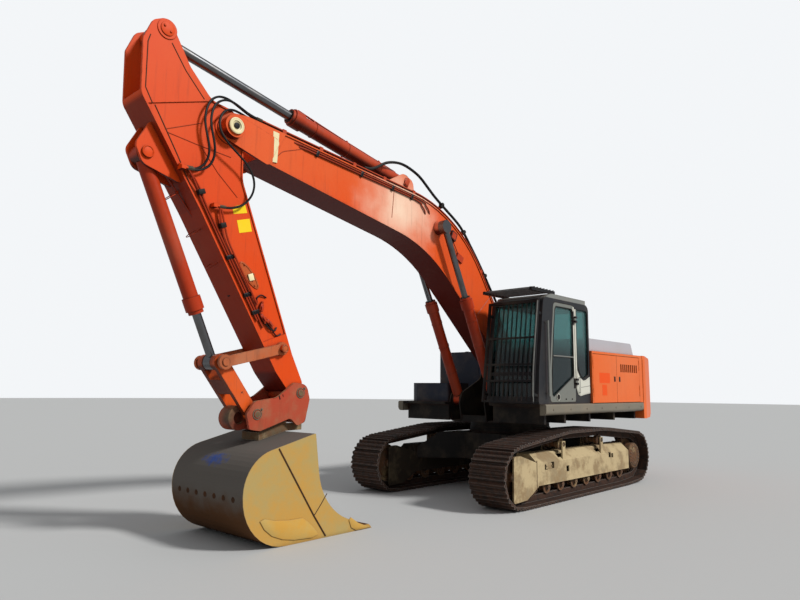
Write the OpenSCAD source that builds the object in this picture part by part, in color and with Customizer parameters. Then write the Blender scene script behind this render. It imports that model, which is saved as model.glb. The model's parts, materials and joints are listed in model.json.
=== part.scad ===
/* [Undercarriage] */
// Distance between the idler and sprocket axles
tumbler_l = 4050; // [3700:10:4400]
// Distance between the middles of the two tracks
gauge = 2390; // [2300:10:2490]
// Width of a track shoe
shoe_w = 600; // [500:10:600]
// Number of shoes in one track
shoe_count = 51; // [47:1:54]
// Height of a link from its rail to the shoe
link_h = 104; // [90:1:115]
// Width of one row of links
link_w = 45; // [35:1:55]
// Distance between the middles of a track's two rows of links
link_spread = 190; // [180:1:210]
// Thickness of a shoe plate
shoe_t = 14; // [10:1:20]
// Height of a grouser above its shoe plate
grouser_h = 26; // [18:1:34]
// Pitch radius of the chain round the idler
idler_pitch_r = 355; // [330:1:370]
// Pitch radius of the chain round the sprocket
sprocket_pitch_r = 360; // [340:1:370]
// Height of the idler's axle above the lowest pitch line
idler_lift = 360; // [355:1:380]
// Height of the sprocket's axle above the lowest pitch line
sprocket_lift = 385; // [375:1:400]
// Height of the carrier rollers' axles above the ground
carrier_z = 828; // [800:1:850]
// Distance of the front carrier roller ahead of the swing axis
carrier_front_x = 610; // [400:10:800]
// Distance of the rear carrier roller behind the swing axis
carrier_rear_x = 720; // [500:10:900]
// Radius of the pitch line over a carrier roller
carrier_pitch_r = 127; // [110:1:140]
// Number of lower rollers under one side frame
roller_count = 8; // [6:1:9]
// Distance between the first and the last lower roller
roller_span = 3000; // [2600:10:3200]
// Height of the lower rollers' axles above the ground
roller_z = 232; // [225:1:240]
// Width of a side frame
side_frame_w = 410; // [390:1:440]
// Height of a side frame's lower edge above the ground
side_frame_z = 275; // [260:1:290]
// Height of the fold along a side frame's outer face
side_fold_z = 590; // [540:1:640]
// Height of a side frame's crest
side_crest_z = 726; // [700:1:730]
// Radius of a final drive's cover
drive_r = 232; // [200:1:250]
// Height of the centre frame's underside above the ground
belly_z = 500; // [440:5:540]
// Height of the centre frame's top plate above the ground
turret_z = 1030; // [1000:5:1060]
// Outer radius of the slewing ring
ring_r = 690; // [620:5:720]
// Width of the slewing ring's section
ring_w = 130; // [90:5:160]
// Height of the slewing ring
ring_h = 100; // [80:5:120]

/* [Upper structure] */
// Distance from the swing axis to the back of the counterweight
tail_r = 3600; // [3500:10:3650]
// Width over the deck
deck_w = 2990; // [2900:10:3000]
// Distance from the swing axis to the deck's front edge
deck_front = 1318; // [1250:5:1360]
// Distance back from the swing axis to the counterweight
weight_front = 2330; // [2300:5:2400]
// Thickness of the deck plate
deck_t = 40; // [20:1:60]
// Height of the rounded skirt along the deck's edge
skirt_h = 165; // [140:1:200]
// Width of the skirt's section
skirt_w = 110; // [80:1:140]
// Height of the deck above the ground
deck_z = 1455; // [1430:5:1480]
// Height of the body's flat top above the ground
body_top = 2330; // [2250:5:2400]
// Thickness of a body door or cover
panel_t = 40; // [25:1:60]
// Thickness of the four boom bracket plates
bracket_t = 25; // [20:1:30]
// Distance of the boom's foot pin ahead of the swing axis
foot_x = 229; // [200:1:260]
// Height of the boom's foot pin above the ground
foot_z = 2008; // [1980:1:2040]
// Distance of the boom cylinders' base ahead of the swing axis
boom_base_x = 995; // [960:1:1010]
// Height of the boom cylinders' base above the ground
boom_base_z = 1500; // [1490:1:1530]

/* [Cab] */
// Distance from the machine's middle to the cab's inner wall
cab_inner_y = 520; // [505:1:560]
// Width of the cab
cab_w = 930; // [900:1:935]
// Height of the cab's shell above the deck
cab_h = 1640; // [1580:5:1680]
// Distance of the cab's front foot ahead of the swing axis
cab_front_x = 1500; // [1450:5:1520]
// How far the windscreen leans back at its top
cab_lean = 240; // [180:5:280]
// Distance of the cab's back wall behind the swing axis
cab_back = 225; // [200:5:240]
// Thickness of the cab's walls and posts
cab_t = 45; // [35:1:60]
// Thickness of the glass
glass_t = 6; // [4:1:8]
// Thickness of the roof cap
roof_t = 70; // [50:1:90]
// Number of upright bars in the front guard
guard_bars = 11; // [7:1:13]
// Thickness of a guard bar
guard_bar_t = 14; // [10:1:18]

/* [Boom] */
// Distance between the boom's foot pin and its arm pin
boom_l = 6405; // [6200:5:6600]
// Distance from the boom's foot to its bend along its pin line
boom_bend_x = 2456; // [2400:2:2500]
// Width of the boom
boom_w = 470; // [440:1:472]
// Thickness of the boom's plates
boom_t = 16; // [12:1:24]
// Radius of the boom's foot hub
boom_foot_r = 165; // [140:1:180]
// Radius of the boom's tip round the arm pin
boom_tip_r = 190; // [170:1:210]
// Radius of the boom's main pins
main_pin_r = 55; // [45:1:60]
// Distance of the boom cylinders from the machine's middle
boom_cyl_y = 360; // [358:1:364]

/* [Arm] */
// Distance between the arm's two pins
arm_l = 3196; // [3000:5:3400]
// Direction of the arm from its pin on the boom, below level
arm_angle = -110.31; // [-112:0.01:-108]
// Width of the arm
arm_w = 436; // [400:1:440]
// Thickness of the arm's plates
arm_t = 16; // [12:1:25]
// Radius of the arm's hub round its pin on the boom
arm_hub_r = 185; // [160:1:200]
// Radius of the arm's tip hub
arm_tip_r = 122; // [105:1:130]
// Radius of the pins in the bucket's linkage
link_pin_r = 45; // [35:1:50]

/* [Cylinders] */
// Outer radius of a boom cylinder's barrel
boom_barrel_r = 86; // [80:1:87]
// Radius of a boom cylinder's rod
boom_rod_r = 48; // [40:1:50]
// Length of a boom cylinder from its base pin to its gland's end
boom_barrel_l = 1800; // [1740:5:1840]
// Outer radius of the arm cylinder's barrel
arm_barrel_r = 102; // [90:1:105]
// Radius of the arm cylinder's rod
arm_rod_r = 60; // [50:1:65]
// Length of the arm cylinder from its base pin to its gland's end
arm_barrel_l = 2165; // [2100:5:2190]
// Outer radius of the bucket cylinder's barrel
bucket_barrel_r = 84; // [75:1:88]
// Radius of the bucket cylinder's rod
bucket_rod_r = 50; // [40:1:55]
// Length of the bucket cylinder from its base pin to its gland's end
bucket_barrel_l = 1780; // [1740:5:1800]

/* [Bucket and linkage] */
// Height of the bucket's pin above the ground
tip_z = 1609; // [1590:1:1640]
// Width over the bucket's side plates
bucket_w = 1440; // [1400:2:1700]
// Thickness of the bucket's plates
bucket_t = 26; // [18:1:34]
// Distance from the bucket's lip back to its heel
bucket_l = 1852; // [1750:2:1900]
// Height of the bucket's heel
bucket_h = 927; // [900:1:980]
// Height of the bucket's front top corner above the ground
bucket_top_h = 1162; // [1140:1:1180]
// Thickness of the coupler's side plates
coupler_t = 36; // [28:1:40]
// Thickness of a side link
side_link_t = 40; // [30:1:44]
// Depth of a side link
side_link_d = 120; // [100:1:140]
// Width of the push link
push_link_w = 350; // [320:1:360]

/* [Fits] */
// Gap between resting faces of separate pieces
gap = 0.3; // [0.2:0.1:0.5]
// Gap between a pin and its bore
pin_gap = 0.1; // [0.05:0.01:0.1]
// Gap beside a moving piece
side_gap = 6; // [5:0.5:7]

/* [Hidden] */
$fn = 48;
link_half = link_h / 2;
grouser_top = link_half + shoe_t + grouser_h;
pitch_z = grouser_top;
idler = [tumbler_l / 2, pitch_z + idler_lift];
sprocket = [-tumbler_l / 2, pitch_z + sprocket_lift];
carriers = [[carrier_front_x, carrier_z], [-carrier_rear_x, carrier_z]];
roller_xs = [for (i = [0:roller_count - 1]) roller_span * (i / (roller_count - 1) - 0.5)];
roller_pitch_r = roller_z - pitch_z;
track_y = gauge / 2;
track_outer = track_y + shoe_w / 2;

foot = [foot_x, foot_z];
// Angle of the line through the boom's two pins above level
boom_angle = asin((tip_z - foot_z - arm_l * sin(arm_angle)) / boom_l);
arm_pin = foot + boom_l * [cos(boom_angle), sin(boom_angle)];
tip_pin = arm_pin + arm_l * [cos(arm_angle), sin(arm_angle)];

function on_boom(p) = foot + [[cos(boom_angle), -sin(boom_angle)], [sin(boom_angle), cos(boom_angle)]] * p;
function on_arm(p) = arm_pin + [[cos(arm_angle), -sin(arm_angle)], [sin(arm_angle), cos(arm_angle)]] * p;

// Pins on the boom, along and above the line through its two pins
boom_eye_local = [boom_bend_x + 319, 1123];
arm_base_local = [boom_bend_x + 1156, 1430];
// Pins on the arm, along and in front of the line through its two pins
arm_eye_local = [-1094, 466];
bucket_base_local = [162, 1024];
rocker_local = [arm_l - 586, 89];
link_top_local = [arm_l - 680, 866];
coupler_local = [arm_l + 12, 658];

boom_base = [boom_base_x, boom_base_z];
boom_eye = on_boom(boom_eye_local);
arm_base = on_boom(arm_base_local);
arm_eye = on_arm(arm_eye_local);
bucket_base = on_arm(bucket_base_local);
rocker_pin = on_arm(rocker_local);
link_top = on_arm(link_top_local);
coupler_pin = on_arm(coupler_local);

machine_reach = on_arm([-430, 965]).x + 10;
machine_shift = [(tail_r - machine_reach) / 2, 0, 0];

// Geometry helpers

// Moves the machine so that its outline is centred over the origin
module placed() {
  translate(machine_shift)
    children();
}

function turn(a) = [cos(a), sin(a)];
function heading(d) = atan2(d.y, d.x);
function side_of(d) = [d.y, -d.x];
function flat(p) = [p.x, p.y];

// Points of the arc that rounds corner b, between neighbours a and c
function fillet(a, b, c, r, n) =
  let (u = (a - b) / norm(a - b), w = (c - b) / norm(c - b), half = acos(u * w) / 2)
  let (o = b + (u + w) / norm(u + w) * r / sin(half))
  let (s = heading(b + u * r / tan(half) - o), e = heading(b + w * r / tan(half) - o))
  let (d = (e - s + 540) % 360 - 180)
  r <= 0 ? [b] : [for (i = [0:n]) o + r * turn(s + d * i / n)];

// Outline through corners given as [x, y, radius]
function rounded(corners, n = 6) =
  let (m = len(corners))
  [for (i = [0:m - 1])
    each fillet(flat(corners[(i + m - 1) % m]), flat(corners[i]), flat(corners[(i + 1) % m]),
          corners[i][2], n)];

// Outline corners moved d to the right of the way round, their radii following
function moved(corners, d) =
  let (m = len(corners))
  [for (i = [0:m - 1])
    let (a = flat(corners[(i + m - 1) % m]), b = flat(corners[i]), c = flat(corners[(i + 1) % m]))
    let (u = (b - a) / norm(b - a), w = (c - b) / norm(c - b), p = side_of(u), q = side_of(w))
    let (o = b + d * (p + q) / (1 + p * q))
    [o.x, o.y, max(0, corners[i][2] + d * sign(cross(u, w)))]];

// Extrudes an outline drawn as x and z from y0 to y1
module slab(y0, y1) {
  translate([0, y1, 0])
    rotate([90, 0, 0])
      linear_extrude(y1 - y0)
        children();
}

// Round bar along y
module drum(p, r, y0, y1) {
  translate([p.x, y1, p.y])
    rotate([90, 0, 0])
      cylinder(h = y1 - y0, r = r);
}

// Round bar along x from the origin
module bar(l, r) {
  rotate([0, 90, 0])
    cylinder(h = l, r = r);
}

// Tapered or stepped solid of revolution about y through p, from [radius, y] points
module turned(p, profile) {
  translate([p.x, 0, p.y])
    rotate([-90, 0, 0])
      rotate_extrude()
        polygon(profile);
}

module both_sides() {
  children();
  mirror([0, 1, 0])
    children();
}

// Puts a local frame at point o with its x along angle a in the x-z plane
module along(o, a) {
  translate([o.x, 0, o.y])
    rotate([0, -a, 0])
      children();
}

module plate(x0, x1, y0, y1, z0, z1) {
  translate([x0, y0, z0])
    cube([x1 - x0, y1 - y0, z1 - z0]);
}

// Chain path

// Wheels that the pitch line wraps, anticlockwise, as [x, z, radius]
path_wheels = [
  [roller_xs[0], roller_z, roller_pitch_r],
  [roller_xs[roller_count - 1], roller_z, roller_pitch_r],
  [each idler, idler_pitch_r],
  [each carriers[0], carrier_pitch_r],
  [each carriers[1], carrier_pitch_r],
  [each sprocket, sprocket_pitch_r]
];
wheel_n = len(path_wheels);

// Direction of the tangent run's outward normal from wheel i to the next
function run_normal(i) =
  let (a = path_wheels[i], b = path_wheels[(i + 1) % wheel_n], d = flat(b) - flat(a))
  heading(d) - acos((a[2] - b[2]) / norm(d));
function run_length(i) =
  let (a = path_wheels[i], b = path_wheels[(i + 1) % wheel_n], d = flat(b) - flat(a))
  sqrt(d * d - pow(a[2] - b[2], 2));
function wrap_angle(i) = (run_normal(i) - run_normal((i + wheel_n - 1) % wheel_n) + 720) % 360;
function stretch(k) =
  k % 2 == 0 ? path_wheels[k / 2][2] * wrap_angle(k / 2) * PI / 180 : run_length((k - 1) / 2);

stretches = [for (k = [0:2 * wheel_n - 1]) stretch(k)];
starts = [for (k = 0, s = 0; k < 2 * wheel_n; s = s + stretches[k], k = k + 1) s];
path_l = starts[2 * wheel_n - 1] + stretches[2 * wheel_n - 1];
pitch = path_l / shoe_count;

// Point of the pitch line at distance s along it
function path_point(s) =
  let (k = max([for (i = [0:2 * wheel_n - 1]) if (starts[i] <= s) i]), i = floor(k / 2))
  let (w = path_wheels[i], before = run_normal((i + wheel_n - 1) % wheel_n), t = s - starts[k])
  k % 2 == 0
    ? flat(w) + w[2] * turn(before + t / w[2] * 180 / PI)
    : flat(w) + w[2] * turn(run_normal(i)) + t * turn(run_normal(i) + 90);

pins = [for (i = [0:shoe_count - 1]) path_point(i * pitch)];
function link_dir(i) =
  let (d = pins[(i + 1) % shoe_count] - pins[i % shoe_count]) d / norm(d);

// Loop at a set distance outside the pitch line
function loop_at(h) = [
  for (i = [0:shoe_count - 1])
    let (a = side_of(link_dir(i + shoe_count - 1)), b = side_of(link_dir(i)))
    pins[i] + h * (a + b) / (1 + a * b)
];

function to_segment(c, a, b) =
  let (d = b - a, t = min(1, max(0, (c - a) * d / (d * d)))) norm(c - a - t * d);
// Largest radius of a wheel at c whose tread meets the rails
function tread_r(c) =
  min([for (i = [0:shoe_count - 1]) to_segment(c, pins[i], pins[(i + 1) % shoe_count])])
  - link_half - gap;

// Three grousers of one shoe, as a share of the pitch and a height above the pitch line
shoe_profile = [
  [0.02, link_half - 2],
  [0.05, grouser_top],
  [0.12, grouser_top],
  [0.30, link_half + shoe_t],
  [0.46, grouser_top],
  [0.54, grouser_top],
  [0.70, link_half + shoe_t],
  [0.88, grouser_top],
  [0.95, grouser_top]
];

module track(side) {
  color("dimgray")
    translate([0, side * track_y, 0]) {
      slab(-shoe_w / 2, shoe_w / 2)
        difference() {
          polygon([
            for (i = [0:shoe_count - 1], s = shoe_profile)
              pins[i] + link_dir(i) * s.x * pitch + side_of(link_dir(i)) * s.y
          ]);
          polygon(loop_at(link_half - 8));
        }
      for (y = [-1, 1] * link_spread / 2)
        slab(y - link_w / 2, y + link_w / 2)
          difference() {
            polygon(loop_at(link_half - 4));
            polygon(loop_at(-link_half));
          }
    }
}

// Undercarriage

rail_in = (link_spread - link_w) / 2;
rail_out = (link_spread + link_w) / 2;
side_in_y = track_y - side_frame_w / 2;
side_out_y = track_y + side_frame_w / 2;
lip_t = 25;
wheel_half = side_frame_w / 2 - lip_t - gap;
flange_h = 20;
roller_top_gap = 12;
roller_roof_z = roller_z + roller_pitch_r - link_half + flange_h + roller_top_gap;
side_plate_t = 18;
beam_front = 1430;
beam_back = -1760;

// Roller or carrier with two treads and an outer flange, its collars out to the frame's lips
module roller(c, r, collar_half) {
  turned(c, [
    [0, -collar_half], [38, -collar_half], [38, -rail_out - 34], [r * 0.62, -rail_out - 34],
    [r * 0.62, -rail_out - 24], [r + flange_h * 0.8, -rail_out - 24], [r + flange_h, -rail_out - 5],
    [r, -rail_out - 2], [r, -rail_in + 12], [r * 0.7, -rail_in + 24],
    [r * 0.7, rail_in - 24], [r, rail_in - 12], [r, rail_out + 2],
    [r + flange_h, rail_out + 5], [r + flange_h * 0.8, rail_out + 24], [r * 0.62, rail_out + 24],
    [r * 0.62, rail_out + 34], [38, rail_out + 34], [38, collar_half], [0, collar_half]
  ]);
}

module lower_rollers() {
  color("saddlebrown")
    both_sides()
      translate([0, track_y, 0])
        for (x = roller_xs)
          roller([x, roller_z], tread_r([x, roller_z]), wheel_half);
}

carrier_post_y = rail_out + 46;
module carrier_rollers() {
  color("saddlebrown")
    both_sides()
      translate([0, track_y, 0])
        for (c = carriers)
          roller(c, tread_r(c), carrier_post_y);
}

module idlers() {
  r = tread_r(idler);
  color("dimgray")
    both_sides()
      translate([0, track_y, 0])
        turned(idler, [
          [0, -wheel_half], [70, -wheel_half], [70, -110], [r - 70, -70], [r - 40, -rail_out - 8],
          [r, -rail_out - 8], [r, -rail_in + 4], [r + flange_h, -rail_in + 18],
          [r + flange_h, rail_in - 18], [r, rail_in - 4], [r, rail_out + 8],
          [r - 40, rail_out + 8], [r - 70, 70], [70, 110], [70, wheel_half], [0, wheel_half]
        ]);
}

tooth_n = 21;
tooth_w = 76;
module sprockets() {
  root = sprocket_pitch_r - 62;
  tip = sprocket_pitch_r - 8;
  color("dimgray")
    both_sides()
      translate([0, track_y, 0]) {
        slab(-tooth_w / 2, tooth_w / 2)
          translate(sprocket)
            polygon([
              for (i = [0:tooth_n - 1], s = [[0, root], [0.3, root], [0.5, tip], [0.8, tip]])
                s.y * turn(360 * (i + s.x) / tooth_n)
            ]);
        turned(sprocket, [
          [0, -side_frame_w / 2 + 60 + gap], [drive_r - 10, -side_frame_w / 2 + 60 + gap],
          [drive_r - 10, tooth_w / 2 + 30], [drive_r, tooth_w / 2 + 45],
          [drive_r, side_frame_w / 2 - 20], [drive_r - 18, side_frame_w / 2],
          [60, side_frame_w / 2 + 6], [0, side_frame_w / 2 + 6]
        ]);
      }
}

// Left side frame: a beam over the rollers, plates beside the idler, a plate at the drive
module side_frame_half() {
  top_y = 150;
  difference() {
    union() {
      translate([beam_back, 0, 0])
        rotate([90, 0, 90])
          linear_extrude(beam_front - beam_back)
            polygon([
              [side_out_y, side_frame_z], [side_out_y, side_fold_z],
              [track_y + top_y - 90, side_crest_z], [track_y - top_y, side_crest_z],
              [side_in_y, side_fold_z], [side_in_y, side_frame_z],
              [side_in_y + lip_t, side_frame_z],
              [side_in_y + lip_t, roller_roof_z],
              [side_out_y - lip_t, roller_roof_z],
              [side_out_y - lip_t, side_frame_z]
            ]);
      // Plates outside the idler, their lower back corners cut off
      for (y = [side_out_y - lip_t, side_in_y])
        slab(y, y + lip_t)
          polygon(rounded([
            [beam_front - 10, side_fold_z + 10, 0], [beam_front - 10, 262, 0], [1735, 112, 0],
            [idler.x + 55, 98, 30], [idler.x + 45, 735, 40], [idler.x - 130, 735, 30]
          ], 4));
      // Track recoil housing between the plates, behind the idler
      plate(beam_front - 10, idler.x - idler_pitch_r + 10, side_in_y + 10, side_out_y - 10,
         roller_roof_z, 560);
      // Motor plate
      slab(side_in_y, side_in_y + 60) {
        translate(sprocket)
          circle(r = drive_r + 15);
        polygon([
          [beam_back + 5, side_frame_z + 10], [beam_back + 5, side_fold_z + 60],
          sprocket + [60, drive_r], sprocket + [60, -drive_r]
        ]);
      }
      // Carrier posts
      for (c = carriers)
        for (y = [track_y + carrier_post_y + gap, track_y - carrier_post_y - gap - 26])
          plate(c.x - 45, c.x + 45, y, y + 26, side_fold_z + 10, c.y + 48);
    }
    // Hollow of the beam between its end plates
    translate([beam_back + side_plate_t, 0, 0])
      rotate([90, 0, 90])
        linear_extrude(beam_front - beam_back - 2 * side_plate_t)
          polygon([
            [side_out_y - side_plate_t, roller_roof_z + side_plate_t],
            [side_out_y - side_plate_t, side_fold_z - 8],
            [track_y + top_y - 96, side_crest_z - side_plate_t],
            [track_y - top_y + 12, side_crest_z - side_plate_t],
            [side_in_y + side_plate_t, side_fold_z - 4],
            [side_in_y + side_plate_t, roller_roof_z + side_plate_t]
          ]);
    // Slots through the sloping top
    for (x = [645, -655])
      plate(x - 90, x + 90, side_out_y - 120, side_out_y - 50, side_fold_z - 30, side_crest_z + 5);
    // Square holes in the outer face
    for (h = [[1190, 530, 40], [1000, 545, 48], [525, 455, 45], [-985, 560, 42], [-1085, 545, 36]])
      plate(h.x - h[2], h.x + h[2], side_out_y - 60, side_out_y + 5, h.y - h[2], h.y + h[2]);
    for (c = carriers)
      drum(c, 38.2, track_y - carrier_post_y - 30, track_y + carrier_post_y + 30);
    // Room for the sprocket's teeth in the beam's end
    drum(sprocket, sprocket_pitch_r, track_y - tooth_w / 2 - side_gap, track_y + tooth_w / 2 + side_gap);
  }
}

module side_frame_left() {
  color("tan")
    side_frame_half();
}

module side_frame_right() {
  color("tan")
    mirror([0, 1, 0])
      side_frame_half();
}

// Centre frame: a body under the slewing ring with four legs out to the side frames
leg_y = side_in_y - gap;
frame_plate_t = 22;
frame_half_l = 1600;
module frame_plan(inset) {
  union() {
    square([1700 - 2 * inset, 1300 - 2 * inset], center = true);
    for (sx = [-1, 1], sy = [-1, 1])
      polygon([
        [sx * 150, sy * 300], [sx * (800 - inset), sy * 300],
        [sx * (1380 - inset * 1.4), sy * (leg_y - inset)], [sx * (820 + inset), sy * (leg_y - inset)]
      ]);
  }
}

module frame_block(inset) {
  z0 = belly_z + inset;
  leg_z = side_fold_z + 90 - inset;
  top_z = turret_z - 90 - inset;
  intersection() {
    translate([0, 0, z0])
      linear_extrude(turret_z - z0)
        frame_plan(inset);
    translate([-frame_half_l, 0, 0])
      rotate([90, 0, 90])
        linear_extrude(2 * frame_half_l)
          polygon([
            [-leg_y, z0], [leg_y, z0], [leg_y, leg_z], [700, top_z], [-700, top_z], [-leg_y, leg_z]
          ]);
  }
}

tow_x = 850;
tow_r = 32;
tow_t = 45;
module centre_frame() {
  color("#3a3531") {
    difference() {
      union() {
        frame_block(0);
        translate([0, 0, belly_z + 40])
          cylinder(h = turret_z - belly_z - 40, r = ring_r + 12);
      }
      frame_block(frame_plate_t);
      // Opening for the swivel joint, through the top plate into the frame
      translate([0, 0, belly_z + 120])
        cylinder(h = turret_z - belly_z, r = ring_r - ring_w - 60);
    }
    // Towing eyes at the front and the back
    for (s = [-1, 1])
      translate([0, 0, belly_z + 80])
        linear_extrude(tow_t)
          difference() {
            polygon(rounded([
              [s * (tow_x - 10), -130, 0], [s * (tow_x + 160), -60, 50],
              [s * (tow_x + 160), 60, 50], [s * (tow_x - 10), 130, 0]
            ]));
            translate([s * (tow_x + 85), 0])
              circle(r = tow_r);
          }
  }
}

module slew_ring() {
  color("#2f2c2a")
    translate([0, 0, turret_z + gap])
      difference() {
        cylinder(h = ring_h, r = ring_r);
        translate([0, 0, -1])
          cylinder(h = ring_h + 2, r = ring_r - ring_w);
      }
}

// Upper structure

frame_z = turret_z + ring_h + 2 * gap;
floor_t = 30;
inner_bracket_y = boom_w / 2 + side_gap;
outer_bracket_y = boom_cyl_y + boom_barrel_r + side_gap;
girder_front = boom_base_x + 150;
girder_z = deck_z + 40;
deck_half = deck_w / 2;

module main_frame() {
  color("#3a3531") {
    // Floor plate over the slewing ring, and the decks beside the boom
    plate(-weight_front + gap, girder_front - 80, -outer_bracket_y, outer_bracket_y,
       frame_z, frame_z + floor_t);
    translate([0, 0, frame_z])
      cylinder(h = floor_t, r = ring_r + 60);
    for (s = [-1, 1])
      plate(-weight_front + gap, deck_front - 30,
         s > 0 ? outer_bracket_y : -deck_half + skirt_w + gap,
         s > 0 ? deck_half - skirt_w - gap : -outer_bracket_y, deck_z - deck_t, deck_z);
    // Outriggers that carry the decks
    for (x = [-2200, -1300, -350, 500, 1120])
      both_sides()
        plate(x, x + 60, outer_bracket_y, deck_half - skirt_w - gap - 10,
           frame_z + 20, deck_z - deck_t + 2);
    // Girders along the middle, rising to the boom's foot
    both_sides() {
      slab(inner_bracket_y, inner_bracket_y + bracket_t)
        polygon(rounded([
          [-weight_front + gap, frame_z + 2, 0], [girder_front - 60, frame_z + 2, 60],
          [girder_front, boom_base_z - 60, 60], [boom_base_x + 95, boom_base_z + 110, 110],
          [foot_x + 330, foot_z - 160, 120], [foot_x + 120, foot_z + 150, 150],
          [foot_x - 150, foot_z + 150, 150], [foot_x - 330, girder_z, 100],
          [-weight_front + gap, girder_z, 0]
        ]));
      slab(outer_bracket_y, outer_bracket_y + bracket_t)
        polygon(rounded([
          [boom_base_x - 520, frame_z + 2, 0], [girder_front - 60, frame_z + 2, 60],
          [girder_front, boom_base_z - 60, 60], [boom_base_x + 100, boom_base_z + 120, 120],
          [boom_base_x - 110, boom_base_z + 120, 120], [boom_base_x - 520, deck_z + 30, 60]
        ]));
      // Bosses beside the cylinders' base eyes
      drum(boom_base, 92, inner_bracket_y, boom_cyl_y - 62 - gap);
      drum(boom_base, 92, boom_cyl_y + 62 + gap, outer_bracket_y + bracket_t);
      drum(boom_base, main_pin_r, inner_bracket_y, outer_bracket_y + bracket_t + 12);
    }
    // Cross plates between the girders
    for (x = [-weight_front + 60, -600, girder_front - 90])
      plate(x, x + 30, -inner_bracket_y - 1, inner_bracket_y + 1, frame_z + 2, frame_z + 110);
    drum(foot, main_pin_r, -inner_bracket_y - bracket_t - 4, inner_bracket_y + bracket_t + 4);
  }
}

// Rounded skirts along both sides of the deck, and round the right front corner
module deck_skirts() {
  z0 = deck_z - skirt_h;
  color("#5b605c")
    both_sides()
      translate([-weight_front, 0, 0])
        rotate([90, 0, 90])
          linear_extrude(weight_front + deck_front)
            polygon(rounded([
              [deck_half - skirt_w, z0, 0], [deck_half, z0, 62],
              [deck_half, deck_z, 30], [deck_half - skirt_w, deck_z, 0]
            ]));
}

weight_z = frame_z + 20;
weight_wall = 230;
lift_eye_r = 24;
lift_eye_depth = 90;
lift_eye_y = 900;
module weight_plan(inset) {
  intersection() {
    circle(r = tail_r - inset, $fn = 120);
    polygon(rounded([
      [-weight_front - gap, -deck_half + inset, 0], [-weight_front - gap, deck_half - inset, 0],
      [-weight_front - 130, deck_half - inset, 130], [-tail_r - 120 + inset, deck_half - 390, 520],
      [-tail_r - 120 + inset, -deck_half + 390, 520], [-weight_front - 130, -deck_half + inset, 130]
    ], 8));
  }
}

module counterweight() {
  color("#c4501f")
    difference() {
      intersection() {
        translate([0, 0, weight_z])
          linear_extrude(body_top + 10 - weight_z)
            weight_plan(0);
        slab(-deck_half - 10, deck_half + 10)
          polygon(rounded([
            [-weight_front, weight_z, 0], [-weight_front, body_top + 5, 0],
            [-tail_r + 330, body_top - 10, 200], [-tail_r - 5, body_top - 160, 120],
            [-tail_r - 5, weight_z + 190, 120], [-tail_r + 420, weight_z, 160]
          ]));
      }
      // Recess of the casting behind the engine bay
      translate([1, 0, weight_z + 140])
        linear_extrude(body_top - weight_z - 260)
          weight_plan(weight_wall);
      // Threaded sockets for the lifting eyes
      for (y = [-1, 1] * lift_eye_y)
        translate([-weight_front - 420, y, body_top - lift_eye_depth])
          cylinder(h = lift_eye_depth + 20, r = lift_eye_r);
    }
}

engine_x = -2120;
// Engine on the girders, its sump between them and its head on top
module engine_block() {
  sump_y = inner_bracket_y - 20;
  color("#4a4a48") {
    plate(engine_x + 80, engine_x + 620, -sump_y, sump_y, frame_z + floor_t + 60, girder_z + 1);
    plate(engine_x, engine_x + 700, -620, 560, girder_z + gap, body_top - 330);
    plate(engine_x + 130, engine_x + 570, -450, 400, body_top - 331, body_top - 200);
  }
}

tank_back = -1230;
tank_mid = -510;
tank_front = 210;
tank_wall = 14;
module tank_plan(x0, x1, inset) {
  y0 = -outer_bracket_y - 50 - inset;
  y1 = -deck_half + 25 + inset;
  polygon(rounded([
    [x0 + inset, y0, 30 - inset], [x0 + inset, y1, 45 - inset],
    [x1 - inset, y1, 90 - inset], [x1 - inset, y0, 30 - inset]
  ]));
}

module tanks() {
  top = body_top + 30;
  color("#454a52")
    for (t = [[tank_back, tank_mid - 6, 30], [tank_mid + 6, tank_front, 0]])
      translate([0, 0, deck_z + gap])
        difference() {
          linear_extrude(top - deck_z - t[2])
            tank_plan(t.x, t.y, 0);
          translate([0, 0, -1])
            linear_extrude(top - deck_z - t[2] - tank_wall)
              tank_plan(t.x, t.y, tank_wall);
        }
}

box_front = 1130;
module tool_box() {
  top = 1775;
  color("#3c424c")
    difference() {
      translate([0, 0, deck_z + gap])
        linear_extrude(top - deck_z)
          polygon(rounded([
            [tank_front + 6, -outer_bracket_y - 60, 0], [tank_front + 6, -deck_half + 40, 0],
            [box_front, -deck_half + 40, 300], [box_front, -outer_bracket_y - 60, 40]
          ]));
      // Step cut into the box beside the tank
      plate(tank_front + 5, tank_front + 330, -1000, -outer_bracket_y - 55, top - 200, top + 10);
    }
}

door_split = -1190;
door_back = -2180;
bay_front = -262;
door_face = deck_half - 6;
hinge_pin_r = 5;
hinge_r = 9;
hinge_l = 60;
hinge_zs = [deck_z + 120, body_top - 280];

// Pin of a lift-off hinge at x, y with the two bosses that hold it, from z up
module hinge_pin(x, y, z, r, boss_r, l) {
  translate([x, y, z]) {
    cylinder(h = 3 * l + 2 * gap, r = r);
    cylinder(h = l, r = boss_r);
    translate([0, 0, 2 * l + 2 * gap])
      cylinder(h = l, r = boss_r);
  }
}

// Room for a hinge's fixed bosses, or for its knuckle, round the pin at x, y
module boss_room(x, y, z, boss_r, l) {
  translate([x, y, z])
    for (k = [0, 2 * l + 2 * gap])
      translate([0, 0, k - side_gap])
        cylinder(h = l + 2 * side_gap, r = boss_r + side_gap);
}
module knuckle_room(x, y, z, boss_r, l) {
  translate([x, y, z + l - side_gap])
    cylinder(h = l + 2 * gap + 2 * side_gap, r = boss_r + side_gap);
}

// Knuckle that turns between the two bosses
module knuckle(x, y, z, boss_r, l) {
  translate([x, y, z + l + gap])
    cylinder(h = l, r = boss_r);
}

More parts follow.
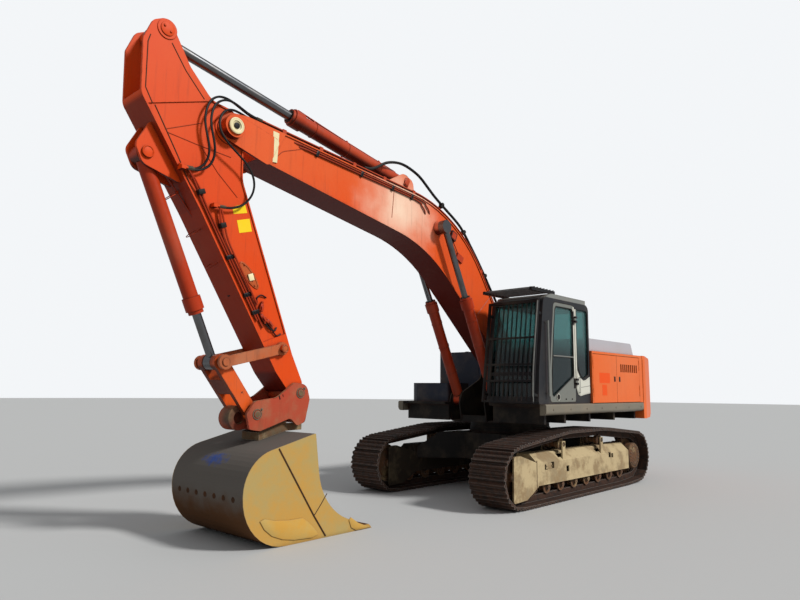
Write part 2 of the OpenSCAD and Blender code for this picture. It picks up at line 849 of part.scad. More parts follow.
// Fixed walls round the machinery bays
module bay_walls() {
  z0 = deck_z + gap;
  z1 = body_top - panel_t - gap;
  color("#d9591f") {
    // Bulkhead behind the cab, with the front door's hinges
    difference() {
      plate(bay_front, bay_front + 30, outer_bracket_y + 60, door_face, z0, z1);
      for (z = hinge_zs)
        knuckle_room(bay_front - side_gap, door_face, z, hinge_r, hinge_l);
    }
    for (z = hinge_zs)
      hinge_pin(bay_front - side_gap, door_face, z, hinge_pin_r, hinge_r, hinge_l);
    // Corner posts next to the counterweight, with the other doors' hinges
    both_sides() {
      difference() {
        plate(-weight_front + gap, door_back - side_gap, door_face - 90, door_face, z0, z1);
        for (z = hinge_zs)
          knuckle_room(door_back, door_face, z, hinge_r, hinge_l);
      }
      for (z = hinge_zs)
        hinge_pin(door_back, door_face, z, hinge_pin_r, hinge_r, hinge_l);
    }
    // Post between the left doors, set back
    plate(door_split - 30, door_split + 30, door_face - 130, door_face - panel_t - side_gap, z0, z1);
  }
}

// Flat covers beside the hood, the left one with a raised box behind the cab
hood_half = 700;
hood_front = -1240;
raised_h = 225;
raised_in_y = hood_half + 60;
raised_out_y = deck_half - 126;
module raised_side(inset) {
  z0 = body_top - panel_t / 2 - inset;
  z1 = body_top + raised_h - inset;
  polygon(rounded([
    [bay_front - inset, z0, 0], [bay_front - 60 - inset, z1, 60],
    [-2120 + inset, z1, 60], [-2230 + inset, z0, 0]
  ]));
}

// Puts the hood's hinges, their axis along z, at the front edge of the hood
module at_hood_hinges() {
  for (y = [-outer_bracket_y + 60, outer_bracket_y - 60 - 3 * hinge_l])
    translate([hood_front, y, body_top])
      rotate([-90, 0, 0])
        children();
}

module top_covers() {
  z0 = body_top - panel_t;
  color("#d9591f") {
    plate(-weight_front + gap, bay_front + 30, hood_half + side_gap, door_face, z0, body_top);
    plate(-weight_front + gap, tank_back - 8, -door_face, -hood_half - side_gap, z0, body_top);
    // Front cover with the hood's hinges
    difference() {
      plate(hood_front + side_gap, bay_front + 30, -outer_bracket_y - 40, hood_half + side_gap + 1,
         z0, body_top);
      at_hood_hinges()
        knuckle_room(0, 0, 0, hinge_r, hinge_l);
    }
    at_hood_hinges()
      hinge_pin(0, 0, 0, hinge_pin_r, hinge_r, hinge_l);
    // Raised box behind the cab
    difference() {
      slab(raised_in_y, raised_out_y)
        raised_side(0);
      slab(raised_in_y + panel_t, raised_out_y - panel_t)
        raised_side(panel_t);
    }
    translate([-1990, -900, body_top - 1])
      difference() {
        cylinder(h = 300, r = 62);
        translate([0, 0, 60])
          cylinder(h = 260, r = 54);
      }
  }
}

hood_back = -2300;
module hood() {
  color("#d9591f")
    difference() {
      union() {
        difference() {
          slab(-hood_half, hood_half)
            polygon(rounded([
              [hood_front, body_top - panel_t, 0], [hood_front, body_top + 60, 40],
              [hood_front - 150, body_top + 190, 90], [hood_back + 120, body_top + 190, 90],
              [hood_back, body_top + 60, 40], [hood_back, body_top - panel_t, 0]
            ]));
          at_hood_hinges()
            boss_room(0, 0, 0, hinge_r, hinge_l);
          slab(-hood_half + panel_t, hood_half - panel_t)
            polygon(rounded([
              [hood_front - panel_t, body_top - panel_t - 1, 0],
              [hood_front - panel_t, body_top + 45, 20], [hood_front - 175, body_top + 150, 60],
              [hood_back + 145, body_top + 150, 60], [hood_back + panel_t, body_top + 45, 20],
              [hood_back + panel_t, body_top - panel_t - 1, 0]
            ]));
        }
        at_hood_hinges()
          knuckle(0, 0, 0, hinge_r, hinge_l);
      }
      at_hood_hinges()
        cylinder(h = 3 * hinge_l, r = hinge_pin_r + pin_gap);
    }
}

// A side door between two x values, with its rounded edges and the knuckles of its hinges
module side_door(x0, x1, hinge_x) {
  difference() {
    union() {
      difference() {
        slab(door_face - panel_t, door_face)
          polygon(rounded([
            [x0, deck_z + 8, 12], [x0, body_top - panel_t - 8, 12],
            [x1, body_top - panel_t - 8, 12], [x1, deck_z + 8, 12]
          ], 3));
        for (z = hinge_zs)
          boss_room(hinge_x, door_face, z, hinge_r, hinge_l);
      }
      for (z = hinge_zs)
        knuckle(hinge_x, door_face, z, hinge_r, hinge_l);
    }
    for (z = hinge_zs)
      translate([hinge_x, door_face, z])
        cylinder(h = 3 * hinge_l, r = hinge_pin_r + pin_gap);
  }
}

module service_door_front() {
  color("#d9591f")
    side_door(door_split + 4, bay_front - side_gap, bay_front - side_gap);
}

louvre_n = 9;
module service_door_rear() {
  color("#d9591f")
    difference() {
      side_door(door_back, door_split - 4, door_back);
      for (i = [0:louvre_n - 1])
        plate(-2080 + i * 85, -2080 + i * 85 + 50, door_face - panel_t - 1, door_face + 1,
           body_top - 330, body_top - 190);
    }
}

module pump_door() {
  color("#d9591f")
    mirror([0, 1, 0])
      side_door(door_back, tank_back - 12, door_back);
}

// Cab

cab_out_y = cab_inner_y + cab_w;
cab_top = deck_z + cab_h;
cab_z0 = deck_z + gap;
function screen_x(z) = cab_front_x - cab_lean * (z - deck_z) / cab_h;
door_x0 = 290;
door_x1 = 1105;

// The cab's side, set in by t
function cab_outline(t) = [
  [-cab_back + t, cab_z0 + t, max(15, 60 - t)],
  [-cab_back + t, cab_top - t, 110 - t],
  [screen_x(cab_top) - t, cab_top - t, 110 - t],
  [screen_x(deck_z + 520) - t, deck_z + 520, 300],
  [cab_front_x - 40 - t, cab_z0 + t, max(15, 60 - t)]
];
// A window's corners drawn in by the gap, towards the point at its middle
function shrunk(corners) =
  let (c = [for (i = [0, 1]) (min([for (p = corners) p[i]]) + max([for (p = corners) p[i]])) / 2])
  [for (p = corners) [p.x + (p.x > c.x ? -gap : gap), p.y + (p.y > c.y ? -gap : gap), p[2]]];

// Side window behind the door, its lower edge swept up
rear_window = [
  [-cab_back + 55, cab_top - 95, 40], [door_x0 - 60, cab_top - 95, 40],
  [door_x0 - 60, deck_z + 640, 120], [door_x0 - 250, deck_z + 390, 120], [-cab_back + 55, deck_z + 470, 60]
];
right_window = [
  [-cab_back + 90, deck_z + 420, 60], [screen_x(deck_z + 420) - 110, deck_z + 420, 60],
  [screen_x(cab_top) - 90, cab_top - 110, 60], [-cab_back + 90, cab_top - 110, 60]
];
door_outline = [
  [door_x0, deck_z + 30, 40], [door_x1, deck_z + 30, 60], [door_x1, deck_z + 500, 400],
  [door_x1 - 150, cab_top - 55, 80], [door_x0, cab_top - 55, 50]
];
door_window = [
  [door_x0 + 50, deck_z + 430, 40], [door_x1 - 60, deck_z + 90, 60], [door_x1 - 55, deck_z + 500, 400],
  [door_x1 - 195, cab_top - 110, 60], [door_x0 + 50, cab_top - 110, 40]
];

cab_hinge = [door_x0 - side_gap, cab_out_y + 25];
cab_hinge_l = 34;
cab_pin_r = 8;
cab_boss_r = 14;
cab_hinge_zs = [deck_z + 300, cab_top - 330];
module cab_shell() {
  color("#4b4f4e")
    difference() {
      slab(cab_inner_y, cab_out_y)
        polygon(rounded(cab_outline(0)));
      slab(cab_inner_y + cab_t, cab_out_y - cab_t)
        polygon(rounded(cab_outline(cab_t)));
      // Door opening with its clearance
      slab(cab_out_y - cab_t - 1, cab_out_y + 1)
        polygon(rounded(moved(door_outline, side_gap)));
      slab(cab_out_y - cab_t - 1, cab_out_y + 1)
        polygon(rounded(rear_window));
      // Right window
      slab(cab_inner_y - 1, cab_inner_y + cab_t + 1)
        polygon(rounded(right_window));
      screen_cuts(0);
    }
  // Hinge pins and their brackets on the post behind the door
  color("#4b4f4e")
    for (z = cab_hinge_zs) {
      hinge_pin(cab_hinge.x, cab_hinge.y, z, cab_pin_r, cab_boss_r, cab_hinge_l);
      for (k = [0, 2 * cab_hinge_l + 2 * gap])
        plate(cab_hinge.x - 42, cab_hinge.x, cab_out_y - 1, cab_hinge.y + cab_boss_r - 2,
           z + k, z + k + cab_hinge_l);
    }
}

module cab_door() {
  color("#4b4f4e") {
    slab(cab_out_y - cab_t, cab_out_y)
      difference() {
        polygon(rounded(door_outline));
        polygon(rounded(door_window));
      }
    // Knuckles on plates that stand off the door's face
    difference() {
      for (z = cab_hinge_zs) {
        knuckle(cab_hinge.x, cab_hinge.y, z, cab_boss_r, cab_hinge_l);
        plate(cab_hinge.x, door_x0 + 44, cab_hinge.y - 10, cab_hinge.y + 10,
           z + cab_hinge_l + gap, z + 2 * cab_hinge_l + gap);
        plate(door_x0 + 14, door_x0 + 44, cab_out_y - 1, cab_hinge.y,
           z + cab_hinge_l + gap, z + 2 * cab_hinge_l + gap);
      }
      for (z = cab_hinge_zs)
        translate([cab_hinge.x, cab_hinge.y, z])
          cylinder(h = 3 * cab_hinge_l, r = cab_pin_r + pin_gap);
    }
  }
}

module door_glass() {
  y = cab_out_y - cab_t / 2;
  color("#6fb5a8", 0.35)
    slab(y - glass_t / 2, y + glass_t / 2)
      polygon(rounded(shrunk(door_window)));
}

// Windscreen, lower front and rear windows, as x from, x to, height from, height to, side margin
screens = [
  [900, cab_front_x + 50, 480, cab_h - 80, 70],
  [900, cab_front_x + 50, 110, 430, 70],
  [-cab_back - 10, -cab_back + cab_t + 40, 760, cab_h - 110, 90]
];
module screen_cuts(shrink) {
  for (s = screens)
    plate(s[0], s[1], cab_inner_y + s[4] + shrink, cab_out_y - s[4] - shrink,
       deck_z + s[2] + shrink, deck_z + s[3] - shrink);
}

module cab_glass() {
  y_out = cab_out_y - cab_t / 2;
  y_in = cab_inner_y + cab_t / 2;
  mid = (cab_t - glass_t) / 2;
  color("#6fb5a8", 0.35) {
    slab(y_out - glass_t / 2, y_out + glass_t / 2)
      polygon(rounded(shrunk(rear_window)));
    slab(y_in - glass_t / 2, y_in + glass_t / 2)
      polygon(rounded(shrunk(right_window)));
    // Panes that follow the cab's front and back
    intersection() {
      difference() {
        slab(cab_inner_y, cab_out_y)
          polygon(rounded(cab_outline(mid)));
        slab(cab_inner_y, cab_out_y)
          polygon(rounded(cab_outline(mid + glass_t)));
      }
      screen_cuts(gap);
    }
  }
}

module cab_roof() {
  z0 = cab_top + gap;
  color("#7d8280")
    intersection() {
      translate([0, 0, z0])
        linear_extrude(roof_t)
          polygon(rounded([
            [-cab_back + 20, cab_inner_y, 110], [-cab_back + 20, cab_out_y, 110],
            [screen_x(cab_top) - 60, cab_out_y, 110], [screen_x(cab_top) - 60, cab_inner_y, 110]
          ]));
      slab(cab_inner_y - 10, cab_out_y + 10)
        polygon(rounded([
          [-cab_back, z0 - 1, 0], [-cab_back + 10, z0 + roof_t, 60],
          [screen_x(cab_top) - 80, z0 + roof_t, 300], [screen_x(cab_top) - 50, z0 - 1, 0]
        ]));
    }
}

guard_off = 95;
module front_guard() {
  y0 = cab_inner_y + 10;
  y1 = cab_out_y - 10;
  lean = atan(cab_lean / cab_h);
  h = cab_h - 60;
  color("#23262a")
    difference() {
      translate([cab_front_x + guard_off, 0, deck_z + 20])
        rotate([0, -lean, 0]) {
          // Brackets back to the cab's front posts
          for (y = [y0, y1 - 34], z = [0.07, 0.86])
            plate(-guard_off - 60, -10, y, y + 34, h * z, h * z + 40);
          for (i = [0:guard_bars - 1])
            plate(-guard_bar_t / 2, guard_bar_t / 2, y0 + 40 + (y1 - y0 - 80) * i / (guard_bars - 1) - 8,
               y0 + 40 + (y1 - y0 - 80) * i / (guard_bars - 1) + 8, 10, h - 10);
          for (z = [0, 0.2, 0.36, 0.62])
            plate(-12, 12, y0, y1, h * z, h * z + 28);
          plate(-16, 16, y0, y1, h - 40, h);
          for (y = [y0, y1 - 34])
            plate(-18, 18, y, y + 34, 0, h);
        }
      slab(cab_inner_y - 10, cab_out_y + 10)
        polygon(rounded(moved(cab_outline(0), -gap)));
    }
}

module roof_guard() {
  z = cab_top + roof_t + 2 * gap + 30;
  x1 = screen_x(cab_top) + 300;
  color("#23262a") {
    for (y = [cab_inner_y + 20, cab_out_y - 60])
      plate(x1 - 700, x1, y, y + 40, z - 30, z + 20);
    for (i = [0:6])
      translate([x1 - 60 - i * 95, 0, z + 10])
        rotate([0, 28, 0])
          plate(-45, 45, cab_inner_y + 21, cab_out_y - 21, -5, 5);
  }
}

seat_x = 260;
seat_y = cab_inner_y + cab_w / 2;
module seat_base() {
  color("#2b2d30") {
    plate(-140, 1380, cab_inner_y + 60, cab_out_y - 60, cab_z0 + cab_t + gap, deck_z + 75);
    plate(seat_x - 200, seat_x + 240, seat_y - 200, seat_y + 200, deck_z + 74, deck_z + 400);
    for (s = [-1, 1]) {
      plate(seat_x - 160, seat_x + 420, seat_y + s * 310 - 70, seat_y + s * 310 + 70,
         deck_z + 74, deck_z + 640);
      translate([seat_x + 370, seat_y + s * 310, deck_z + 639])
        cylinder(h = 190, r = 22);
    }
  }
}

module seat_pads() {
  z = deck_z + 400 + gap;
  cushion = 115;
  color("#333333") {
    translate([0, seat_y, 0])
      slab(-230, 230)
        polygon(rounded([
          [seat_x - 230, z, 30], [seat_x + 260, z, 40],
          [seat_x + 270, z + cushion, 50], [seat_x - 230, z + cushion, 15]
        ]));
    translate([0, seat_y, 0])
      slab(-220, 220)
        polygon(rounded([
          [seat_x - 225, z + cushion + gap, 15], [seat_x - 100, z + cushion + gap, 30],
          [seat_x - 190, z + cushion + 575, 50], [seat_x - 310, z + cushion + 575, 50]
        ]));
  }
}

rail_r = 16;
module handrails() {
  color("#23262a")
    translate([door_x1 + 110, cab_out_y + rail_r + 30, 0]) {
      translate([0, 0, deck_z + 120])
        cylinder(h = 1150, r = rail_r);
      // Feet that hold the rail off the front post
      for (z = [deck_z + 150, deck_z + 1230])
        plate(-14, 14, -rail_r - 30 + gap, 0, z, z + 24);
    }
}

// Boom

// Corners of the boom's side as [along, above, radius], over the top to the tip and back
boom_corners = [
  [0, -boom_foot_r, 160], [-boom_foot_r, -40, 120], [-60, 175, 120],
  [boom_bend_x, 1632, 2350], [boom_l - 115, 292, 120], [boom_l + 160, 130, 120],
  [boom_l + 150, -150, 120], [boom_l - 255, -118, 200], [boom_bend_x + 423, 706, 2400]
];
boom_inner_corners = [
  [330, 30, 60], [330, 365, 60], [boom_bend_x, 1608, 2335],
  [boom_l - 505, 412, 20], [boom_l - 505, -40, 20], [boom_bend_x + 429, 725, 2412]
];
fork_from = boom_l - 455;
flange_t = 18;
web_in = 14;
boom_web_from = 250;
ear_t = 30;
boom_half = boom_w / 2;
arm_half = arm_w / 2;
arm_ear_out = arm_barrel_r + side_gap + 28;
bucket_ear_in = bucket_barrel_r + side_gap;

module boom_shell() {
  color("#e2572b")
    along(foot, boom_angle)
      difference() {
        union() {
          difference() {
            slab(-boom_half, boom_half)
              polygon(rounded(boom_corners, 10));
            slab(-boom_half + web_in + boom_t, boom_half - web_in - boom_t)
              polygon(rounded(boom_inner_corners, 10));
            // Webs set in between the flanges
            both_sides()
              slab(boom_half - web_in, boom_half + 1)
                intersection() {
                  polygon(rounded(moved(boom_corners, flange_t), 10));
                  translate([boom_web_from, -500])
                    square([fork_from - 190 - boom_web_from, 2500]);
                }
            // Fork for the arm
            slab(-arm_half - side_gap, arm_half + side_gap)
              translate([fork_from, -600])
                square([1000, 1500]);
          }
          // Ears and hubs at the tip
          both_sides() {
            slab(arm_half + side_gap, arm_half + side_gap + ear_t)
              polygon(rounded([
                [fork_from - 160, 330, 60], [boom_l + 60, 200, 150],
                [boom_l + 150, -60, 120], [boom_l + 30, -160, 100], [fork_from - 160, -60, 60]
              ]));
            drum([boom_l, 0], 130, arm_half + side_gap, arm_half + side_gap + 120);
          }
          // Boss through the webs for the boom cylinders' rod eyes
          drum(boom_eye_local, 105, -boom_cyl_y + 50 + gap, boom_cyl_y - 50 - gap);
          // Ears for the arm cylinder's base
          both_sides()
            slab(arm_barrel_r + side_gap, arm_ear_out)
              polygon(rounded([
                [arm_base_local.x - 330, 1180, 30], [arm_base_local.x - 120, 1520, 110],
                [arm_base_local.x + 110, 1500, 110], [arm_base_local.x + 420, 1080, 30]
              ]));
          drum([boom_l, 0], main_pin_r, -arm_half - side_gap - 130, arm_half + side_gap + 130);
          drum(arm_base_local, main_pin_r, -arm_ear_out - 12, arm_ear_out + 12);
        }
        drum([0, 0], main_pin_r + pin_gap, -boom_half - 5, boom_half + 5);
      }
}

// Pipes and clamps along the boom's back, outside the arm cylinder's ears on the left
pipe_r = 13;
pipe_n = 3;
pipe_step = 32;
pipe_y = arm_ear_out + 18;
pipe_lift = 34;
pipe_foot_l = 1480;
pipe_tip_l = 2780;
clamp_l = 56;
// Room between pipe lengths inside the clamps at the bend
joint_l = 8;
hose_r = 14;
ferrule_l = 60;
back_r = boom_corners[3][2];
back = fillet(flat(boom_corners[2]), flat(boom_corners[3]), flat(boom_corners[4]), back_r, 1);
back_dirs = [heading(flat(boom_corners[3]) - flat(boom_corners[2])),
      heading(flat(boom_corners[4]) - flat(boom_corners[3]))];
back_centre = back[0] + back_r * turn(back_dirs[0] - 90);

// Puts a point over the boom's back at distance s from its bend, h above it
module on_back(k, s, h = 0) {
  translate([back[k].x, 0, back[k].y])
    rotate([0, -back_dirs[k], 0])
      translate([s, 0, h])
        children();
}

module boom_pipes() {
  y1 = pipe_y + (pipe_n - 1) * pipe_step;
  color("#c4501f")
    along(foot, boom_angle) {
      for (i = [0:pipe_n - 1])
        translate([0, pipe_y + i * pipe_step, 0]) {
          on_back(0, -pipe_foot_l, pipe_lift)
            bar(pipe_foot_l - joint_l, pipe_r);
          on_back(1, joint_l, pipe_lift)
            bar(pipe_tip_l - joint_l, pipe_r);
          on_back(1, pipe_tip_l - ferrule_l, pipe_lift)
            bar(ferrule_l, hose_r + 1);
          translate([back_centre.x, 0, back_centre.y])
            rotate([90, 0, 0])
              rotate([0, 0, back_dirs[1] + 90])
                rotate_extrude(angle = back_dirs[0] - back_dirs[1])
                  translate([back_r + pipe_lift, 0])
                    circle(r = pipe_r);
        }
      // Clamps that hold the pipes off the boom's back
      for (c = [[0, -1300], [0, -650], [0, 0], [1, 0], [1, 640], [1, 1240], [1, 1840],
            [1, 2440]])
        on_back(c.x, c.y)
          plate(-clamp_l / 2, clamp_l / 2, pipe_y - pipe_r - 3, y1 + pipe_r + 2,
             gap, pipe_lift + pipe_r + 5);
    }
}

// Hoses from the pipes' ends to the arm, as points of x, y and height, from the outer one in
hose_routes = [
  [
    [5656, 218, 4844], [5740, 218, 4851], [5860, 222, 4872], [5980, 236, 4904], [6110, 258, 4920],
    [6230, 284, 4880], [6330, 310, 4790], [6380, 326, 4670], [6388, 334, 4540], [6360, 334, 4420],
    [6328, 328, 4300], [6324, 314, 4180], [6370, 294, 4070], [6480, 276, 4000], [6599, 272, 3990]
  ],
  [
    [5656, 186, 4844], [5740, 186, 4853], [5850, 189, 4882], [5970, 196, 4922], [6110, 214, 4952],
    [6250, 242, 4930], [6360, 268, 4846], [6426, 288, 4710], [6442, 298, 4560], [6412, 300, 4420],
    [6376, 292, 4300], [6370, 278, 4190], [6410, 260, 4084], [6496, 242, 4020], [6599, 240, 4010]
  ],
  [
    [5657, 154, 4844], [5740, 155, 4847], [5840, 164, 4850], [5950, 194, 4852], [6060, 238, 4834],
    [6170, 286, 4784], [6254, 322, 4694], [6292, 344, 4580], [6264, 352, 4470], [6170, 350, 4374],
    [6050, 342, 4298], [5920, 332, 4212], [5820, 322, 4100], [5786, 312, 3970], [5820, 298, 3840],
    [5920, 280, 3726], [6060, 264, 3668], [6190, 260, 3660]
  ]
];
// A route's points with one more halfway along each stretch of its curve
function smooth(p) =
  let (n = len(p))
  [for (i = [0:2 * n - 2])
    let (k = floor(i / 2))
    i % 2 == 0 ? p[k] : (9 * (p[k] + p[k + 1]) - p[max(0, k - 1)] - p[min(n - 1, k + 2)]) / 16];

// Tube with eight sides along a route
module hose(i) {
  path = smooth(hose_routes[i]);
  m = len(path);
  rings = [for (i = [0:m - 1])
    let (t = path[min(m - 1, i + 1)] - path[max(0, i - 1)], u = cross([0, 1, 0], t), v = cross(t, u))
    for (k = [0:7])
      path[i] + hose_r * (cos(45 * k) * u / norm(u) + sin(45 * k) * v / norm(v))];
  color("#1d1d1f")
    polyhedron(rings, [
      [for (k = [0:7]) k], [for (k = [1:8]) m * 8 - k],
      for (i = [0:m - 2], k = [0:7])
        let (a = i * 8 + k, b = i * 8 + (k + 1) % 8) [a, a + 8, b + 8, b]
    ]);
}

// Work lamp and switch box on the boom's left web
module boom_lamp() {
  web_y = boom_half - web_in;
  color("#e2572b")
    along(foot, boom_angle) {
      plate(boom_bend_x - 106, boom_bend_x + 24, web_y + gap, boom_half + 30, 1150, 1290);
      plate(boom_bend_x - 416, boom_bend_x - 256, web_y + gap, boom_half + 14, 930, 1040);
    }
}

// Arm

arm_corners = [
  [-1225, 400, 90], [-1190, 600, 100], [-1000, 770, 90], [-430, 965, 160],
  [831, 655, 0], [arm_l - 346, 238, 400], [arm_l - 56, 130, 60], [arm_l - 56, -100, 60],
  [arm_l - 472, -54, 0], [600, 5, 300], [150, -150, 100], [-200, -120, 100], [-330, 135, 200], [-700, 300, 300]
];
arm_inner_corners = [
  [-330, 260, 40], [-330, 900, 60], [831, 638, 0], [arm_l - 396, 228, 60], [arm_l - 396, -30, 20],
  [600, 24, 300], [300, 80, 60]
];

arm_plate_t = 32;
module arm_shell() {
  color("#e2572b")
    along(arm_pin, arm_angle)
      difference() {
        union() {
          difference() {
            slab(-arm_half, arm_half)
              polygon(rounded(arm_corners, 6));
            slab(-arm_half + web_in + arm_t, arm_half - web_in - arm_t)
              polygon(rounded(arm_inner_corners, 6));
            // Webs set in between the flanges
            both_sides()
              slab(arm_half - web_in, arm_half + 1)
                intersection() {
                  polygon(rounded(moved(arm_corners, flange_t), 6));
                  translate([-320, -500])
                    square([rocker_local.x - 150 + 320, 2000]);
                }
            // Slot for the arm cylinder's rod eye
            slab(-arm_half + arm_plate_t, arm_half - arm_plate_t)
              polygon([[-1300, 0], [-1300, 1100], [-470, 1100], [-470, 0]]);
          }
          drum([0, 0], arm_hub_r, -arm_half, arm_half);
          drum([arm_l, 0], arm_tip_r, -arm_half, arm_half);
          both_sides()
            drum(arm_eye_local, 110, 90, arm_half + 10);
          drum(rocker_local, 80, -arm_half, arm_half);
          // Ears for the bucket cylinder's base
          both_sides()
            slab(bucket_ear_in, bucket_ear_in + 35)
              polygon(rounded([
                [-170, 880, 30], [60, 1130, 105], [270, 1110, 105], [560, 700, 30]
              ]));
          drum(bucket_base_local, link_pin_r, -bucket_ear_in - 50, bucket_ear_in + 50);
          drum(rocker_local, link_pin_r, -arm_half - 90, arm_half + 90);
        }
        drum([0, 0], main_pin_r + pin_gap, -arm_half - 5, arm_half + 5);
        drum([arm_l, 0], link_pin_r + pin_gap, -arm_half - 5, arm_half + 5);
      }
  // Fittings on the left web that take the hoses' ends
  color("#e2572b")
    for (route = hose_routes) {
      end = route[len(route) - 1];
      translate([end.x + 2 * gap, end.y, end.z])
        bar(ferrule_l, hose_r + 3);
      plate(end.x + 35, end.x + 85, arm_half - web_in - 1, end.y + 22, end.z - 22, end.z + 22);
    }
}

// Cylinders

gland_l = 100;
barrel_wall = 20;
// Barrel from its base eye at the origin along x, its gland at the far end
module barrel(r, l, eye_r, eye_half, bore_r, rod_r) {
  difference() {
    union() {
      drum([0, 0], eye_r, -eye_half, eye_half);
      translate([eye_r * 0.7, 0, 0])
        rotate([0, 90, 0])
          cylinder(h = eye_r * 0.3 + 12, r = min(eye_half, r) - 1);
      translate([eye_r + 8, 0, 0])
        rotate([0, 90, 0])
          cylinder(h = l - eye_r - 8, r = r);
      translate([l - 190, 0, 0])
        rotate([0, 90, 0])
          cylinder(h = 150, r = r + 18);
    }
    drum([0, 0], bore_r + pin_gap, -eye_half - 1, eye_half + 1);
    translate([eye_r + 28, 0, 0])
      rotate([0, 90, 0])
        cylinder(h = l - gland_l - eye_r - 28, r = r - barrel_wall);
    translate([l - gland_l - 1, 0, 0])
      rotate([0, 90, 0])
        cylinder(h = gland_l + 2, r = rod_r + pin_gap);
  }
}

// Rod that ends in an eye at distance l, its other end inside the barrel
module rod(r, l, from, eye_r, eye_half) {
  translate([from, 0, 0])
    rotate([0, 90, 0])
      cylinder(h = l - eye_r * 0.8 - from, r = r);
  drum([l, 0], eye_r, -eye_half, eye_half);
}

// How deep each rod stands in its barrel
boom_rod_from = boom_barrel_l - 700;
arm_rod_from = arm_barrel_l - 405;
bucket_rod_from = bucket_barrel_l - 920;

module boom_barrels() {
  d = boom_eye - boom_base;
  color("#b8391f")
    both_sides()
      translate([0, boom_cyl_y, 0])
        along(boom_base, heading(d))
          barrel(boom_barrel_r, boom_barrel_l, 100, 60, main_pin_r, boom_rod_r);
}

module boom_rods() {
  d = boom_eye - boom_base;
  color("silver")
    both_sides()
      translate([0, boom_cyl_y, 0])
        along(boom_base, heading(d))
          rod(boom_rod_r, norm(d), boom_rod_from, 105, 50);
}

module arm_barrel() {
  d = arm_eye - arm_base;
  color("#b8391f")
    along(arm_base, heading(d))
      barrel(arm_barrel_r, arm_barrel_l, 115, arm_barrel_r, main_pin_r, arm_rod_r);
}

module arm_rod() {
  d = arm_eye - arm_base;
  color("silver")
    along(arm_base, heading(d))
      rod(arm_rod_r, norm(d), arm_rod_from, 115, 84);
}

module bucket_barrel() {
  d = link_top - bucket_base;
  color("#b8391f")
    along(bucket_base, heading(d))
      barrel(bucket_barrel_r, bucket_barrel_l, 100, bucket_barrel_r, link_pin_r, bucket_rod_r);
}

module bucket_rod() {
  d = link_top - bucket_base;
  color("silver")
    along(bucket_base, heading(d))
      rod(bucket_rod_r, norm(d), bucket_rod_from, 88, 70);
}

// Bucket linkage

side_link_y = arm_half + side_gap + side_link_t / 2;
module side_links() {
  d = link_top - rocker_pin;
  color("#6b3a28")
    along(rocker_pin, heading(d))
      both_sides() {
        difference() {
          slab(side_link_y - side_link_t / 2, side_link_y + side_link_t / 2)
            union() {
              circle(r = 78);
              translate([norm(d), 0])
                circle(r = 84);
              translate([0, -side_link_d / 2])
                square([norm(d), side_link_d]);
            }
          drum([0, 0], link_pin_r + pin_gap, 0, side_link_y + side_link_t);
        }
        drum([norm(d), 0], link_pin_r, 84, side_link_y + side_link_t / 2 + 14);
      }
}

push_in = 110;
module push_link() {
  d = coupler_pin - link_top;
  l = norm(d);
  half = push_link_w / 2;
  color("#7a3320")
    along(link_top, heading(d))
      difference() {
        union() {
          both_sides() {
            drum([0, 0], 92, 82, half);
            drum([l, 0], 92, push_in, half);
            slab(push_in, half)
              polygon([[0, -85], [l, -80], [l, 80], [0, 85]]);
          }
          slab(-push_in - 1, push_in + 1)
            polygon([[180, -85], [l - 340, -80], [l - 340, 80], [180, 85]]);
        }
        drum([0, 0], link_pin_r + pin_gap, -half - 1, half + 1);
      }
}

// Quick coupler, its corners along the line between its two upper pins
coupler_l = norm(coupler_local - [arm_l, 0]);
coupler_in = arm_half + side_gap;
lock_half = 100;
bar_r = 38;
bar_local = [116, -296];
lock_local = [797, 10];
lock_r = 138;
module coupler() {
  d = coupler_pin - tip_pin;
  color("#b5382a")
    along(tip_pin, heading(d)) {
      both_sides()
        slab(coupler_in, coupler_in + coupler_t)
          polygon(rounded([
            [-125, 60, 110], [40, 150, 90], [330, 75, 200], [coupler_l - 20, 150, 60],
            [coupler_l + 130, 60, 50], [coupler_l + 150, -120, 30],
            [coupler_l + 20, -195, 30], [240, -222, 60], [170, -350, 50], [50, -350, 50],
            [-110, -120, 110]
          ]));
      // Cross box below the pins
      slab(-coupler_in - 1, coupler_in + 1)
        polygon([[190, -205], [coupler_l + 10, -190], [coupler_l + 10, -162], [190, -162]]);
      drum([0, 0], link_pin_r, -coupler_in - coupler_t - 10, coupler_in + coupler_t + 10);
      both_sides()
        drum([coupler_l, 0], link_pin_r, push_link_w / 2 + 12, coupler_in + coupler_t + 10);
      // Bar that the bucket hangs on
      drum(bar_local, bar_r, -coupler_in - 1, coupler_in + 1);
      // Housing of the lock at the back
      difference() {
        drum(lock_local, lock_r, -lock_half, lock_half);
        drum(lock_local, lock_r - 70, lock_half - 60, lock_half + 1);
        drum(lock_local, lock_r - 70, -lock_half - 1, -lock_half + 60);
      }
      slab(-lock_half + 10, lock_half - 10)
        polygon([[coupler_l - 60, -192], [lock_local.x + 60, -110], [lock_local.x - 60, -60],
            [coupler_l - 60, -128]]);
    }
}

// Bucket

